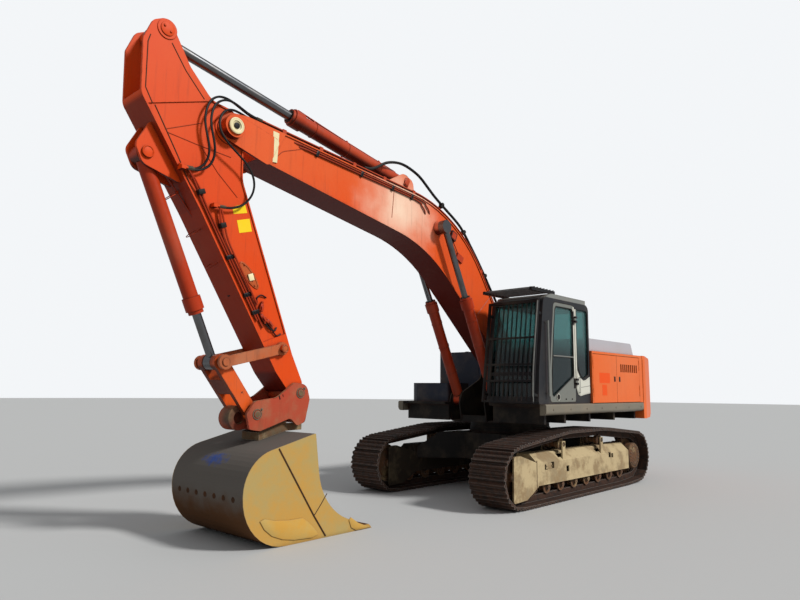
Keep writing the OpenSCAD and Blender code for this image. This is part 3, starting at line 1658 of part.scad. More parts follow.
lip_x = -780;
heel_x = lip_x + bucket_l;
front_top_x = 129;
ground = -tip_z;
heel_r = 0.48 * bucket_h;
sole_r = 0.6 * bucket_h;
bucket_corners = [
  [lip_x, ground, 0], [heel_x, ground, sole_r], [heel_x, ground + bucket_h, heel_r],
  [front_top_x, ground + bucket_top_h, 12], [15, ground + 320, 700]
];
bucket_hollow = [
  [lip_x - 200, ground + bucket_t, 0], [heel_x - bucket_t, ground + bucket_t, sole_r - bucket_t],
  [heel_x - bucket_t, ground + bucket_h - 20, heel_r - bucket_t],
  [front_top_x - 7, ground + bucket_top_h - bucket_t * 1.1, 0],
  [lip_x - 200, ground + bucket_top_h - bucket_t, 0]
];
module bucket() {
  half = bucket_w / 2;
  color("#a08a55")
    translate([tip_pin.x, 0, tip_pin.y])
      difference() {
        union() {
          slab(-half, half)
            polygon(rounded(bucket_corners, 10));
          // Cutting edge
          slab(-half, half)
            polygon([
              [lip_x - 5, ground], [lip_x + 330, ground],
              [lip_x + 330, ground + bucket_t + 22], [lip_x + 40, ground + bucket_t + 22]
            ]);
        }
        slab(-half + bucket_t, half - bucket_t)
          difference() {
            polygon(rounded(bucket_hollow, 10));
            polygon([
              [lip_x - 5, ground], [lip_x + 330, ground],
              [lip_x + 330, ground + bucket_t + 22], [lip_x + 40, ground + bucket_t + 22]
            ]);
          }
      }
}

adapter_half = 168;
adapter_back = 515;
// Height of the bucket's top plate at distance x from the tip pin
function bucket_top(x) =
  ground + bucket_top_h - (x - front_top_x) * (bucket_top_h - bucket_h) / (heel_x - front_top_x) + gap;
module bucket_adapter() {
  d = coupler_pin - tip_pin;
  bar = (bar_local.x * d - bar_local.y * side_of(d)) / norm(d);
  seat = bar_r + gap;
  color("#7b6a4d")
    translate([tip_pin.x, 0, tip_pin.y]) {
      // Plates with a hook round the coupler's bar
      both_sides()
        slab(adapter_half - 40, adapter_half)
          difference() {
            polygon([
              bar + [-105, -122], bar + [-105, 20], bar + [-40, 78], bar + [70, 56],
              bar + [70, seat], bar + [0, seat], bar + [0, -seat], bar + [130, -seat],
              bar + [175, -10], [adapter_back, -450], [adapter_back, bucket_top(adapter_back)],
              [front_top_x, bucket_top(front_top_x)]
            ]);
            translate(bar)
              circle(r = seat);
          }
      slab(-adapter_half + 39, adapter_half - 39)
        polygon([
          [adapter_back - 80, bucket_top(adapter_back - 80)], [adapter_back, bucket_top(adapter_back)],
          [adapter_back, -450], [adapter_back - 80, -430]
        ]);
    }
}

placed() centre_frame();
placed() slew_ring();
placed() side_frame_left();
placed() side_frame_right();
placed() track(1);  // track_left
placed() track(-1);  // track_right
placed() idlers();
placed() sprockets();
placed() lower_rollers();
placed() carrier_rollers();
placed() main_frame();
placed() deck_skirts();
placed() counterweight();
placed() engine_block();
placed() tanks();
placed() tool_box();
placed() bay_walls();
placed() top_covers();
placed() cab_shell();
placed() cab_roof();
placed() cab_glass();
placed() front_guard();
placed() roof_guard();
placed() seat_base();
placed() seat_pads();
placed() handrails();
placed() cab_door();
placed() door_glass();
placed() service_door_front();
placed() service_door_rear();
placed() pump_door();
placed() hood();
placed() boom_shell();
placed() boom_pipes();
placed() hose(0);  // hose_outer
placed() hose(1);  // hose_middle
placed() hose(2);  // hose_inner
placed() boom_lamp();
placed() boom_barrels();
placed() boom_rods();
placed() arm_barrel();
placed() arm_rod();
placed() arm_shell();
placed() bucket_barrel();
placed() bucket_rod();
placed() side_links();
placed() push_link();
placed() coupler();
placed() bucket_adapter();
placed() bucket();
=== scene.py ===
"""Dresses the crawler excavator in its finishes, adds its hoses and small hardware, and lights it."""

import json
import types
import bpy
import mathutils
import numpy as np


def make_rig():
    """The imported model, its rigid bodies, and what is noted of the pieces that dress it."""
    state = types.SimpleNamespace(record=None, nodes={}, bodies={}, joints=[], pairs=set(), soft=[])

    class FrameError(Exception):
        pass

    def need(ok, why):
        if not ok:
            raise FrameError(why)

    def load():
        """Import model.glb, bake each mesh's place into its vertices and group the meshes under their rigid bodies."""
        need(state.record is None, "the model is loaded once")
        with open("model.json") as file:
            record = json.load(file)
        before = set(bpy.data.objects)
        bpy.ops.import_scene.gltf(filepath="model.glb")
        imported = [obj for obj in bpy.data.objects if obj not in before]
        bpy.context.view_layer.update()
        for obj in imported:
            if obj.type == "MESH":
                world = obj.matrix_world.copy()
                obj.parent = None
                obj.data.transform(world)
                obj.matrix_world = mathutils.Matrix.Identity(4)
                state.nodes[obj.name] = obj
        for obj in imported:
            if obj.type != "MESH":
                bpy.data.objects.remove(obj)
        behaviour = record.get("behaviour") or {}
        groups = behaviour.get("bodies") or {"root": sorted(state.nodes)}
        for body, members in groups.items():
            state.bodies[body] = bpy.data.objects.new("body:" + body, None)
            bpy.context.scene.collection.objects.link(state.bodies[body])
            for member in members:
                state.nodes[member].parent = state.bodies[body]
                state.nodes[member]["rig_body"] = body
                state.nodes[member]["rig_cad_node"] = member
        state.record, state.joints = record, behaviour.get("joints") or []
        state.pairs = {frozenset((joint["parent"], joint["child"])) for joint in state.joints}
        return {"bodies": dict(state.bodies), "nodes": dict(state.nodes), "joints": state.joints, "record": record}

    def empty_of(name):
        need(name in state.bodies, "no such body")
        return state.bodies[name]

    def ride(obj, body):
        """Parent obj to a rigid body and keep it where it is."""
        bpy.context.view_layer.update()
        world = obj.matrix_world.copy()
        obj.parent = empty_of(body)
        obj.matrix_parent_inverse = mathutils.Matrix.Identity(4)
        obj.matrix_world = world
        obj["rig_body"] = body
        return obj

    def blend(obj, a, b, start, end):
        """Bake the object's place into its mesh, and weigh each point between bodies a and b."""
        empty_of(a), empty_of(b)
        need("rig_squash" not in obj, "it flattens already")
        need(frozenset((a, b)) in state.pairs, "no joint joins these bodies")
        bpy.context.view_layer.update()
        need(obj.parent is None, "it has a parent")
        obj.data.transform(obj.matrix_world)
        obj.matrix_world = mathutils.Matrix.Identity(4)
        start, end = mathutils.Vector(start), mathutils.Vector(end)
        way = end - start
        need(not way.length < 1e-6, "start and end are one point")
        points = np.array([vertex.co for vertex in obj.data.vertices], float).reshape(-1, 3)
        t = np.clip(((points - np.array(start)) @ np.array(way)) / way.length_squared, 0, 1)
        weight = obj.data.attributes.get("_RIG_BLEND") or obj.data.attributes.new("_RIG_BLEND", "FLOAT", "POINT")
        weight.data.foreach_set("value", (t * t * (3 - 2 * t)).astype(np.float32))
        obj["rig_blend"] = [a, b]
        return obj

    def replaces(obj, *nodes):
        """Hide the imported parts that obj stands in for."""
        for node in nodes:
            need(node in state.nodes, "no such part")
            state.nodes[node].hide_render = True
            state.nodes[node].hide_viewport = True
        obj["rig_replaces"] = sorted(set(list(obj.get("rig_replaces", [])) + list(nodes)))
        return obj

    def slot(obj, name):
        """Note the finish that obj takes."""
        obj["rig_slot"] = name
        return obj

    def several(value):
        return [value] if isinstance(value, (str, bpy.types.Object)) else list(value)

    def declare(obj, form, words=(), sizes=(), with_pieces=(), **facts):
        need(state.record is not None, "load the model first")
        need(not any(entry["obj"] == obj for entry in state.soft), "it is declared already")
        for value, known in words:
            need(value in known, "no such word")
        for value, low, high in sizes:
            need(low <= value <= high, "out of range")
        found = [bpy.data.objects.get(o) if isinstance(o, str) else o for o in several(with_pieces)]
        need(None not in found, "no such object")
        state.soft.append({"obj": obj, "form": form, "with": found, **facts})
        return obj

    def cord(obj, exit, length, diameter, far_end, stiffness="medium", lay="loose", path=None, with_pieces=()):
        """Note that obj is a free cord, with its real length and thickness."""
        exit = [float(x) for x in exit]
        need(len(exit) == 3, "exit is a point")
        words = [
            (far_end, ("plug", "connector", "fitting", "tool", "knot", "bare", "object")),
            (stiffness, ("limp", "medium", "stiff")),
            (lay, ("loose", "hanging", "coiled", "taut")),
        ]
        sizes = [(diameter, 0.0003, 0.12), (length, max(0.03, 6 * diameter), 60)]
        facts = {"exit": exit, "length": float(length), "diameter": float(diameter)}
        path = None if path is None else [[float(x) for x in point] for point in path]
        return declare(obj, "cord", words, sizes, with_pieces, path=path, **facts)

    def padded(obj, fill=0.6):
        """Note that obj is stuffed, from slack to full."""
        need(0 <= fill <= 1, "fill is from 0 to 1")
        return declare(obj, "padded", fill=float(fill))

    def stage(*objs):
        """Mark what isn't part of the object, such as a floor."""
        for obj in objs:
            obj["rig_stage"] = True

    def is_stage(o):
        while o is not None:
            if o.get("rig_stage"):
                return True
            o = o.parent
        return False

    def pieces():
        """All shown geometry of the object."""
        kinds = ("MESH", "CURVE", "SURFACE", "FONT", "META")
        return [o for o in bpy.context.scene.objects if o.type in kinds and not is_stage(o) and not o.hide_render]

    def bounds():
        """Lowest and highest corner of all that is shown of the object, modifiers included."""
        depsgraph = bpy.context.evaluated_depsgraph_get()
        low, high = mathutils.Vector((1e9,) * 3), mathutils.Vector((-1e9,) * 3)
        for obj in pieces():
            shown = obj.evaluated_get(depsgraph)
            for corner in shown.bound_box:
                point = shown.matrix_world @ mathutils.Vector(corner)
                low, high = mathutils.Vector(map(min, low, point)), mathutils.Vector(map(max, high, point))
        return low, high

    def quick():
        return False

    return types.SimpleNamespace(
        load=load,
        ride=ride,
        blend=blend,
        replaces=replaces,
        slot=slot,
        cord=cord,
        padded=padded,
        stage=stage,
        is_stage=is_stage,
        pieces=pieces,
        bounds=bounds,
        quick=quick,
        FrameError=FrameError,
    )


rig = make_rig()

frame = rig.load()

import json
import logging
import math
from dataclasses import dataclass
from enum import Enum
from typing import Callable, Iterable, Sequence, Union

import bpy
from mathutils import Matrix, Vector

LOG = logging.getLogger("excavator")
SIZE_FILE = "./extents.json"
CAD_BOX = [list(corner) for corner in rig.bounds()]
Colour = tuple[float, float, float]
Feed = Union[float, tuple, bpy.types.NodeSocket]
PLAIN_SPECULAR = 0.14
WEAVE_TURN = 6.28
SHARP_ANGLE = 32.0
SAME_WAY = 0.98
MERGE_DISTANCE = 1e-5


def linear(red: int, green: int, blue: int) -> Colour:
    """Turns a display colour into a linear one.

    Args:
        red: Red from 0 to 255.
        green: Green from 0 to 255.
        blue: Blue from 0 to 255.

    Returns:
        The same colour in linear light.
    """
    def channel(value: int) -> float:
        """Gives one channel in linear light."""
        share = value / 255
        return share / 12.92 if share <= 0.04045 else ((share + 0.055) / 1.055) ** 2.4

    return channel(red), channel(green), channel(blue)


class Tree:
    """A small helper that lays nodes into a node tree and links them."""

    def __init__(self, tree: bpy.types.NodeTree) -> None:
        """Keeps the tree that the nodes go into."""
        self.tree = tree

    def add(self, kind: str, inputs: dict | None = None, **settings) -> bpy.types.Node:
        """Adds a node.

        Args:
            kind: The node's type name.
            inputs: Values or sockets for its inputs, by name or number.
            **settings: Properties of the node.

        Returns:
            The new node.
        """
        node = self.tree.nodes.new(kind)
        for name, value in settings.items():
            setattr(node, name, value)
        for key, value in (inputs or {}).items():
            self.feed(node.inputs[key], value)
        return node

    def feed(self, socket: bpy.types.NodeSocket, value: Feed) -> None:
        """Links a socket to an input, or sets the input's own value.

        Args:
            socket: The input.
            value: A socket, a colour of three numbers or a plain value.
        """
        if isinstance(value, bpy.types.NodeSocket):
            self.tree.links.new(value, socket)
        elif isinstance(value, tuple) and len(value) == 3 and socket.type == "RGBA":
            socket.default_value = (*value, 1.0)
        else:
            socket.default_value = value

    def math(self, operation: str, a: Feed, b: Feed = 0.0, c: Feed = 0.0) -> bpy.types.NodeSocket:
        """Adds a Math node and returns its value."""
        return self.add("ShaderNodeMath", {0: a, 1: b, 2: c}, operation=operation).outputs[0]

    def noise(self, place: Feed, scale: Feed, detail: float = 4.0,
              roughness: float = 0.55) -> bpy.types.NodeSocket:
        """Adds a Noise Texture.

        Args:
            place: The coordinates.
            scale: How many blotches lie in a metre.
            detail: How many finer layers it has.
            roughness: How strong the finer layers are.

        Returns:
            Its value.
        """
        node = self.add("ShaderNodeTexNoise", {"Vector": place, "Scale": scale, "Detail": detail,
                                               "Roughness": roughness})
        return node.outputs["Fac"]

    def ramp(self, value: Feed, low: Feed, high: Feed) -> bpy.types.NodeSocket:
        """Turns a value into a smooth mask.

        Args:
            value: The value.
            low: Where the mask is 0.
            high: Where the mask is 1; it may lie under low.

        Returns:
            The mask.
        """
        node = self.add("ShaderNodeMapRange", {"Value": value, "From Min": low, "From Max": high},
                        interpolation_type="SMOOTHSTEP")
        return node.outputs["Result"]

    def mix(self, mask: Feed, a: Feed, b: Feed) -> bpy.types.NodeSocket:
        """Mixes two colours.

        Args:
            mask: How much of the second colour shows.
            a: The first colour.
            b: The second colour.

        Returns:
            The mixed colour.
        """
        node = self.add("ShaderNodeMix", data_type="RGBA")
        self.feed(node.inputs["Factor"], mask)
        self.feed(node.inputs["A"], a)
        self.feed(node.inputs["B"], b)
        return node.outputs["Result"]

    def place(self, scale: tuple[float, float, float] = (1.0, 1.0, 1.0)) -> bpy.types.NodeSocket:
        """Gives the piece's own Object coordinates.

        Args:
            scale: How much each axis is stretched.

        Returns:
            The coordinates.
        """
        where = self.add("ShaderNodeTexCoord").outputs["Object"]
        if scale == (1.0, 1.0, 1.0):
            return where
        return self.add("ShaderNodeMapping", {"Vector": where, "Scale": scale}).outputs["Vector"]


def new_group(name: str, inputs: Sequence[tuple[str, str, object]],
              outputs: Sequence[tuple[str, str]]) -> tuple[bpy.types.NodeTree, Tree, dict, bpy.types.Node]:
    """Starts a shader node group with named sockets.

    Args:
        name: The group's name.
        inputs: Name, socket kind and default of each input.
        outputs: Name and socket kind of each output.

    Returns:
        The group, its helper, its inputs by name and its output node.
    """
    group = bpy.data.node_groups.new(name, "ShaderNodeTree")
    for label, kind, default in inputs:
        socket = group.interface.new_socket(name=label, in_out="INPUT", socket_type=kind)
        socket.default_value = (*default, 1.0) if isinstance(default, tuple) else default
    for label, kind in outputs:
        group.interface.new_socket(name=label, in_out="OUTPUT", socket_type=kind)
    tree = Tree(group)
    entry = tree.add("NodeGroupInput")
    return group, tree, {s.name: s for s in entry.outputs}, tree.add("NodeGroupOutput")


COLOUR, NUMBER = "NodeSocketColor", "NodeSocketFloat"


def weathering_group() -> bpy.types.NodeTree:
    """Builds the group for paint that has faded, chipped and gathered dust.

    Returns:
        The node group, with a colour, a roughness and a height.
    """
    group, tree, given, out = new_group(
        "weathering",
        [("Paint", COLOUR, (0.6, 0.2, 0.05)), ("Faded", COLOUR, (0.7, 0.4, 0.3)),
         ("Rust", COLOUR, (0.12, 0.05, 0.03)), ("Dust", COLOUR, (0.4, 0.35, 0.27)),
         ("Patch Size", NUMBER, 0.6), ("Fading", NUMBER, 0.3), ("Rusting", NUMBER, 0.3),
         ("Edge Wear", NUMBER, 0.5), ("Dusting", NUMBER, 0.3), ("Gloss", NUMBER, 0.35)],
        [("Colour", COLOUR), ("Roughness", NUMBER), ("Height", NUMBER)])
    place = tree.place()
    patches = tree.noise(place, given["Patch Size"], 5.0, 0.6)
    fade = tree.math("MULTIPLY", tree.ramp(patches, 0.40, 0.66), given["Fading"])
    mottle = tree.noise(place, 23.0, 6.0, 0.65)
    colour = tree.mix(fade, given["Paint"], given["Faded"])
    shade = tree.ramp(mottle, 0.25, 0.75)
    colour = tree.mix(tree.math("MULTIPLY", shade, 0.16), colour, given["Faded"])
    streak = tree.noise(tree.place((9.0, 9.0, 0.7)), 1.6, 5.0, 0.7)
    streak_mask = tree.math("MULTIPLY", tree.ramp(streak, 0.52, 0.74), given["Rusting"])
    colour = tree.mix(tree.math("MULTIPLY", streak_mask, 0.55), colour, given["Rust"])
    chips = tree.noise(place, 6.5, 12.0, 0.78)
    level = tree.math("SUBTRACT", 0.74, tree.math("MULTIPLY", given["Rusting"], 0.16))
    chip_mask = tree.ramp(chips, level, tree.math("ADD", level, 0.03))
    bevel = tree.add("ShaderNodeBevel", {"Radius": 0.022}, samples=4)
    normal = tree.add("ShaderNodeNewGeometry").outputs["Normal"]
    turn = tree.add("ShaderNodeVectorMath", {0: bevel.outputs["Normal"], 1: normal},
                    operation="DOT_PRODUCT").outputs["Value"]
    edge = tree.ramp(tree.math("SUBTRACT", 1.0, turn), 0.02, 0.20)
    ragged = tree.ramp(tree.noise(place, 14.0, 8.0, 0.7), 0.40, 0.62)
    edge_mask = tree.math("MULTIPLY", tree.math("MULTIPLY", edge, ragged), given["Edge Wear"])
    worn = tree.math("MAXIMUM", chip_mask, edge_mask)
    colour = tree.mix(worn, colour, given["Rust"])
    # Rust colour in the hollows, which also paints their shade: painted shade.
    hollow = tree.add("ShaderNodeAmbientOcclusion", {"Distance": 0.10}, samples=4).outputs["AO"]
    hollow_rust_and_shade = tree.math("MULTIPLY", tree.ramp(hollow, 0.80, 0.25), 0.75)
    colour = tree.mix(tree.math("MULTIPLY", hollow_rust_and_shade, tree.ramp(mottle, 0.2, 0.5)), colour, given["Rust"])
    up = tree.add("ShaderNodeSeparateXYZ", {0: normal}).outputs["Z"]
    flat = tree.math("MULTIPLY", tree.ramp(up, 0.35, 0.95), tree.ramp(mottle, 0.30, 0.62))
    cloud = tree.ramp(tree.noise(place, 1.7, 7.0, 0.62), 0.44, 0.74)
    dust = tree.math("MULTIPLY", tree.math("MAXIMUM", flat, cloud), given["Dusting"])
    colour = tree.mix(dust, colour, given["Dust"])
    rough = tree.math("ADD", given["Gloss"], tree.math("MULTIPLY", tree.math("MAXIMUM", worn, dust), 0.4))
    height = tree.math("SUBTRACT", tree.math("MULTIPLY", mottle, 0.25), worn)
    tree.feed(out.inputs["Colour"], colour)
    tree.feed(out.inputs["Roughness"], rough)
    tree.feed(out.inputs["Height"], height)
    return group


def corrosion_group() -> bpy.types.NodeTree:
    """Builds the group for bare steel that has rusted and gathered mud, with painted shade in its hollows.

    Returns:
        The node group, with a colour, a roughness, a metal mask and a height.
    """
    group, tree, given, out = new_group(
        "corrosion",
        [("Steel", COLOUR, (0.1, 0.09, 0.08)), ("Rust", COLOUR, (0.16, 0.07, 0.035)),
         ("Mud", COLOUR, (0.4, 0.33, 0.22)), ("Grain", NUMBER, 9.0), ("Rusting", NUMBER, 0.7),
         ("Muddiness", NUMBER, 0.3), ("Polish", NUMBER, 0.3)],
        [("Colour", COLOUR), ("Roughness", NUMBER), ("Metal", NUMBER), ("Height", NUMBER)])
    place = tree.place()
    blotch = tree.noise(place, given["Grain"], 9.0, 0.68)
    rust = tree.math("MULTIPLY", tree.ramp(blotch, 0.34, 0.62), given["Rusting"])
    colour = tree.mix(rust, given["Steel"], given["Rust"])
    pits = tree.noise(place, 60.0, 5.0, 0.7)
    colour = tree.mix(tree.math("MULTIPLY", tree.ramp(pits, 0.5, 0.7), 0.35), colour, given["Steel"])
    caked = tree.noise(place, 2.6, 8.0, 0.66)
    level = tree.math("SUBTRACT", 0.78, tree.math("MULTIPLY", given["Muddiness"], 0.5))
    mud = tree.ramp(caked, level, tree.math("ADD", level, 0.16))
    colour = tree.mix(mud, colour, given["Mud"])
    bevel = tree.add("ShaderNodeBevel", {"Radius": 0.018}, samples=4)
    normal = tree.add("ShaderNodeNewGeometry").outputs["Normal"]
    turn = tree.add("ShaderNodeVectorMath", {0: bevel.outputs["Normal"], 1: normal},
                    operation="DOT_PRODUCT").outputs["Value"]
    edge = tree.math("MULTIPLY", tree.ramp(tree.math("SUBTRACT", 1.0, turn), 0.02, 0.22), given["Polish"])
    # Painted shade: the hollows darken towards a near-black brown.
    hollow = tree.add("ShaderNodeAmbientOcclusion", {"Distance": 0.10}, samples=4).outputs["AO"]
    colour = tree.mix(tree.math("MULTIPLY", tree.ramp(hollow, 0.75, 0.20), 0.7), colour, linear(34, 27, 22))
    colour = tree.mix(edge, colour, (0.34, 0.31, 0.28))
    rough = tree.math("SUBTRACT", 0.86, tree.math("MULTIPLY", edge, 0.42))
    metal = tree.math("MULTIPLY", edge, tree.math("SUBTRACT", 1.0, mud))
    height = tree.math("ADD", tree.math("MULTIPLY", mud, 0.8), tree.math("MULTIPLY", blotch, 0.5))
    for label, value in (("Colour", colour), ("Roughness", rough), ("Metal", metal), ("Height", height)):
        tree.feed(out.inputs[label], value)
    return group


GROUPS: dict[str, bpy.types.NodeTree] = {}


def shared_group(name: str, build: Callable[[], bpy.types.NodeTree]) -> bpy.types.NodeTree:
    """Builds a node group the first time it is asked for, and gives the same one after that.

    Args:
        name: The group's name.
        build: What builds it.

    Returns:
        The group.
    """
    if name not in GROUPS:
        GROUPS[name] = build()
    return GROUPS[name]


def new_material(name: str) -> tuple[bpy.types.Material, Tree, bpy.types.Node]:
    """Starts a material with one Principled shader.

    Args:
        name: The material's name.

    Returns:
        The material, its helper and its shader node.
    """
    material = bpy.data.materials.new(name)
    material.use_nodes = True
    material.node_tree.nodes.clear()
    tree = Tree(material.node_tree)
    shader = tree.add("ShaderNodeBsdfPrincipled", {"Specular IOR Level": PLAIN_SPECULAR})
    output = tree.add("ShaderNodeOutputMaterial")
    tree.feed(output.inputs["Surface"], shader.outputs["BSDF"])
    return material, tree, shader


@dataclass(frozen=True)
class PaintFinish:
    """Paint on steel plate, as worn and dusty as its place on the machine."""

    name: str
    paint: Colour
    faded: Colour
    rust: Colour = linear(62, 32, 24)
    dust: Colour = linear(150, 132, 108)
    patch_size: float = 0.55
    fading: float = 0.35
    rusting: float = 0.3
    edge_wear: float = 0.5
    dusting: float = 0.25
    gloss: float = 0.36
    bump: float = 0.25
    # Painted shade: a darker colour for the faces that look down.
    painted_underside_shade: Colour | None = None
    # A colour that spreads round one point: a painted highlight on the boom, painted shade on the arm and coupler, a
    # dark patch on the links.
    spot_colour: Colour | None = None
    spot_at: tuple[float, float, float] = (0.0, 0.0, 0.0)
    spot_reach: float = 1.0
    upper_paint: Colour | None = None
    split_height: float = 0.0

    def build(self) -> bpy.types.Material:
        """Makes the material.

        Returns:
            The finished material.
        """
        material, tree, shader = new_material(self.name)
        worn = tree.add("ShaderNodeGroup", node_tree=shared_group("weathering", weathering_group))
        coats = {"Paint": self.paint, "Faded": self.faded}
        for label in coats:
            coats[label] = self.shade_coat(tree, coats[label])
        for label, value in (*coats.items(), ("Rust", self.rust),
                             ("Dust", self.dust), ("Patch Size", self.patch_size),
                             ("Fading", self.fading), ("Rusting", self.rusting),
                             ("Edge Wear", self.edge_wear), ("Dusting", self.dusting),
                             ("Gloss", self.gloss)):
            tree.feed(worn.inputs[label], value)
        bump = tree.add("ShaderNodeBump", {"Height": worn.outputs["Height"], "Strength": self.bump,
                                           "Distance": 0.004})
        tree.feed(shader.inputs["Base Color"], worn.outputs["Colour"])
        tree.feed(shader.inputs["Roughness"], worn.outputs["Roughness"])
        tree.feed(shader.inputs["Normal"], bump.outputs["Normal"])
        return material

    def shade_coat(self, tree: Tree, coat: Feed) -> Feed:
        """Lets a coat of paint take another colour round one place, change over a height and darken underneath as
        painted shade.

        Args:
            tree: The material's tree.
            coat: The coat's colour.

        Returns:
            The colour, or a socket that carries it.
        """
        if self.upper_paint is not None:
            height = tree.add("ShaderNodeSeparateXYZ", {0: tree.place()}).outputs["Z"]
            above = tree.math("GREATER_THAN", height, self.split_height)
            coat = tree.mix(above, coat, self.upper_paint)
        # The spot paints a highlight on the boom and shade on the arm and coupler; on the links it is a dark patch
        # round a pin.
        if self.spot_colour is not None:
            away = tree.add("ShaderNodeVectorMath", {0: tree.place(), 1: self.spot_at},
                            operation="DISTANCE").outputs["Value"]
            ragged = tree.math("ADD", away, tree.math("MULTIPLY", tree.noise(tree.place(), 2.2), 0.8))
            near = tree.ramp(ragged, self.spot_reach + 0.4, 0.35)
            coat = tree.mix(near, coat, self.spot_colour)
        # Painted shade: faces that look down take the darker colour.
        if self.painted_underside_shade is not None:
            normal = tree.add("ShaderNodeNewGeometry").outputs["Normal"]
            down = tree.add("ShaderNodeSeparateXYZ", {0: normal}).outputs["Z"]
            coat = tree.mix(tree.ramp(down, -0.15, -0.75), coat, self.painted_underside_shade)
        return coat


@dataclass(frozen=True)
class SteelFinish:
    """Bare steel that rusts, wears bright on its edges and holds mud."""

    name: str
    steel: Colour
    rust: Colour
    mud: Colour = linear(150, 128, 92)
    grain: float = 9.0
    rusting: float = 0.8
    muddiness: float = 0.3
    polish: float = 0.4
    bump: float = 0.5

    def build(self) -> bpy.types.Material:
        """Makes the material.

        Returns:
            The finished material.
        """
        material, tree, shader = new_material(self.name)
        worn = tree.add("ShaderNodeGroup", node_tree=shared_group("corrosion", corrosion_group))
        for label, value in (("Steel", self.steel), ("Rust", self.rust), ("Mud", self.mud),
                             ("Grain", self.grain), ("Rusting", self.rusting),
                             ("Muddiness", self.muddiness), ("Polish", self.polish)):
            tree.feed(worn.inputs[label], value)
        bump = tree.add("ShaderNodeBump", {"Height": worn.outputs["Height"], "Strength": self.bump,
                                           "Distance": 0.006})
        tree.feed(shader.inputs["Base Color"], worn.outputs["Colour"])
        tree.feed(shader.inputs["Roughness"], worn.outputs["Roughness"])
        tree.feed(shader.inputs["Metallic"], worn.outputs["Metal"])
        tree.feed(shader.inputs["Normal"], bump.outputs["Normal"])
        return material


@dataclass(frozen=True)
class BucketFinish:
    """The bucket's steel: ochre side plates, a dark wrapper with rusty bands and one blue paint mark."""

    name: str
    side: Colour
    side_rust: Colour
    wrapper: Colour
    wrapper_rust: Colour
    mark: Colour
    side_from: float = 0.712
    mark_at: tuple[float, float, float] = (4.215, -0.02, 0.95)
    mark_stretch: float = 0.42

    def build(self) -> bpy.types.Material:
        """Makes the material.

        Returns:
            The finished material.
        """
        material, tree, shader = new_material(self.name)
        place = tree.place()
        axes = tree.add("ShaderNodeSeparateXYZ", {0: place}).outputs
        across = tree.math("ABSOLUTE", axes["Y"])
        on_side = tree.ramp(across, self.side_from, self.side_from + 0.004)
        wavy = tree.math("ADD", axes["Z"], tree.math("MULTIPLY", tree.noise(place, 5.0), 0.3))
        low = tree.ramp(wavy, 0.78, 0.42)
        back = tree.mix(low, self.wrapper, self.wrapper_rust)
        squeezed = tree.add("ShaderNodeMapping", {"Vector": place, "Scale": (1.0, self.mark_stretch, 1.0)})
        middle = (self.mark_at[0], self.mark_at[1] * self.mark_stretch, self.mark_at[2])
        away = tree.add("ShaderNodeVectorMath", {0: squeezed.outputs["Vector"], 1: middle},
                        operation="DISTANCE").outputs["Value"]
        ragged = tree.math("ADD", away, tree.math("MULTIPLY", tree.noise(place, 13.0, 8.0, 0.7), 0.16))
        back = tree.mix(tree.ramp(ragged, 0.225, 0.165), back, self.mark)
        worn = tree.add("ShaderNodeGroup", node_tree=shared_group("corrosion", corrosion_group))
        for label, value in (("Steel", tree.mix(on_side, back, self.side)),
                             ("Rust", tree.mix(on_side, back, self.side_rust)),
                             ("Mud", linear(168, 146, 104)), ("Grain", 2.4), ("Rusting", 0.7),
                             ("Muddiness", 0.12), ("Polish", 0.25)):
            tree.feed(worn.inputs[label], value)
        bump = tree.add("ShaderNodeBump", {"Height": worn.outputs["Height"], "Strength": 0.35,
                                           "Distance": 0.004})
        tree.feed(shader.inputs["Base Color"], worn.outputs["Colour"])
        tree.feed(shader.inputs["Roughness"], worn.outputs["Roughness"])
        tree.feed(shader.inputs["Metallic"], worn.outputs["Metal"])
        tree.feed(shader.inputs["Normal"], bump.outputs["Normal"])
        return material


@dataclass(frozen=True)
class PlainFinish:
    """A moulded or polished surface with a fine grain and faint smudges."""

    name: str
    colour: Colour
    smudge: Colour
    roughness: float = 0.5
    metallic: float = 0.0
    grain: float = 90.0
    bump: float = 0.1

    def build(self) -> bpy.types.Material:
        """Makes the material.

        Returns:
            The finished material.
        """
        material, tree, shader = new_material(self.name)
        place = tree.place()
        film = tree.ramp(tree.noise(place, 3.0, 6.0, 0.6), 0.42, 0.72)
        fine = tree.noise(place, self.grain, 4.0, 0.6)
        tree.feed(shader.inputs["Base Color"],
                  tree.mix(tree.math("MULTIPLY", film, 0.6), self.colour, self.smudge))
        rough = tree.math("ADD", self.roughness, tree.math("MULTIPLY", film, 0.18))
        tree.feed(shader.inputs["Roughness"], rough)
        shader.inputs["Metallic"].default_value = self.metallic
        bump = tree.add("ShaderNodeBump", {"Height": fine, "Strength": self.bump, "Distance": 0.002})
        tree.feed(shader.inputs["Normal"], bump.outputs["Normal"])
        return material


@dataclass(frozen=True)
class GlassFinish:
    """Tinted cab glass with a little dust on it, with painted shade that makes it darker low down where the cab stands
    behind it.
    """

    name: str
    tint: Colour
    low_painted_shade: Colour
    dark_below: float = 2.1
    clear_above: float = 2.6
    transmission: float = 0.82
    index: float = 1.45
    specular: float = 0.5

    def build(self) -> bpy.types.Material:
        """Makes the material.

        Returns:
            The finished material.
        """
        material, tree, shader = new_material(self.name)
        place = tree.place()
        film = tree.ramp(tree.noise(place, 2.2, 7.0, 0.65), 0.45, 0.80)
        height = tree.add("ShaderNodeSeparateXYZ", {0: place}).outputs["Z"]
        # Painted shade: the glass darkens towards its bottom.
        tint = tree.mix(tree.ramp(height, self.dark_below, self.clear_above), self.low_painted_shade, self.tint)
        tree.feed(shader.inputs["Base Color"], tree.mix(tree.math("MULTIPLY", film, 0.18), tint,
                                                        linear(150, 148, 138)))
        tree.feed(shader.inputs["Roughness"], tree.math("ADD", 0.03, tree.math("MULTIPLY", film, 0.15)))
        shader.inputs["Transmission Weight"].default_value = self.transmission
        shader.inputs["IOR"].default_value = self.index
        shader.inputs["Specular IOR Level"].default_value = self.specular
        return material


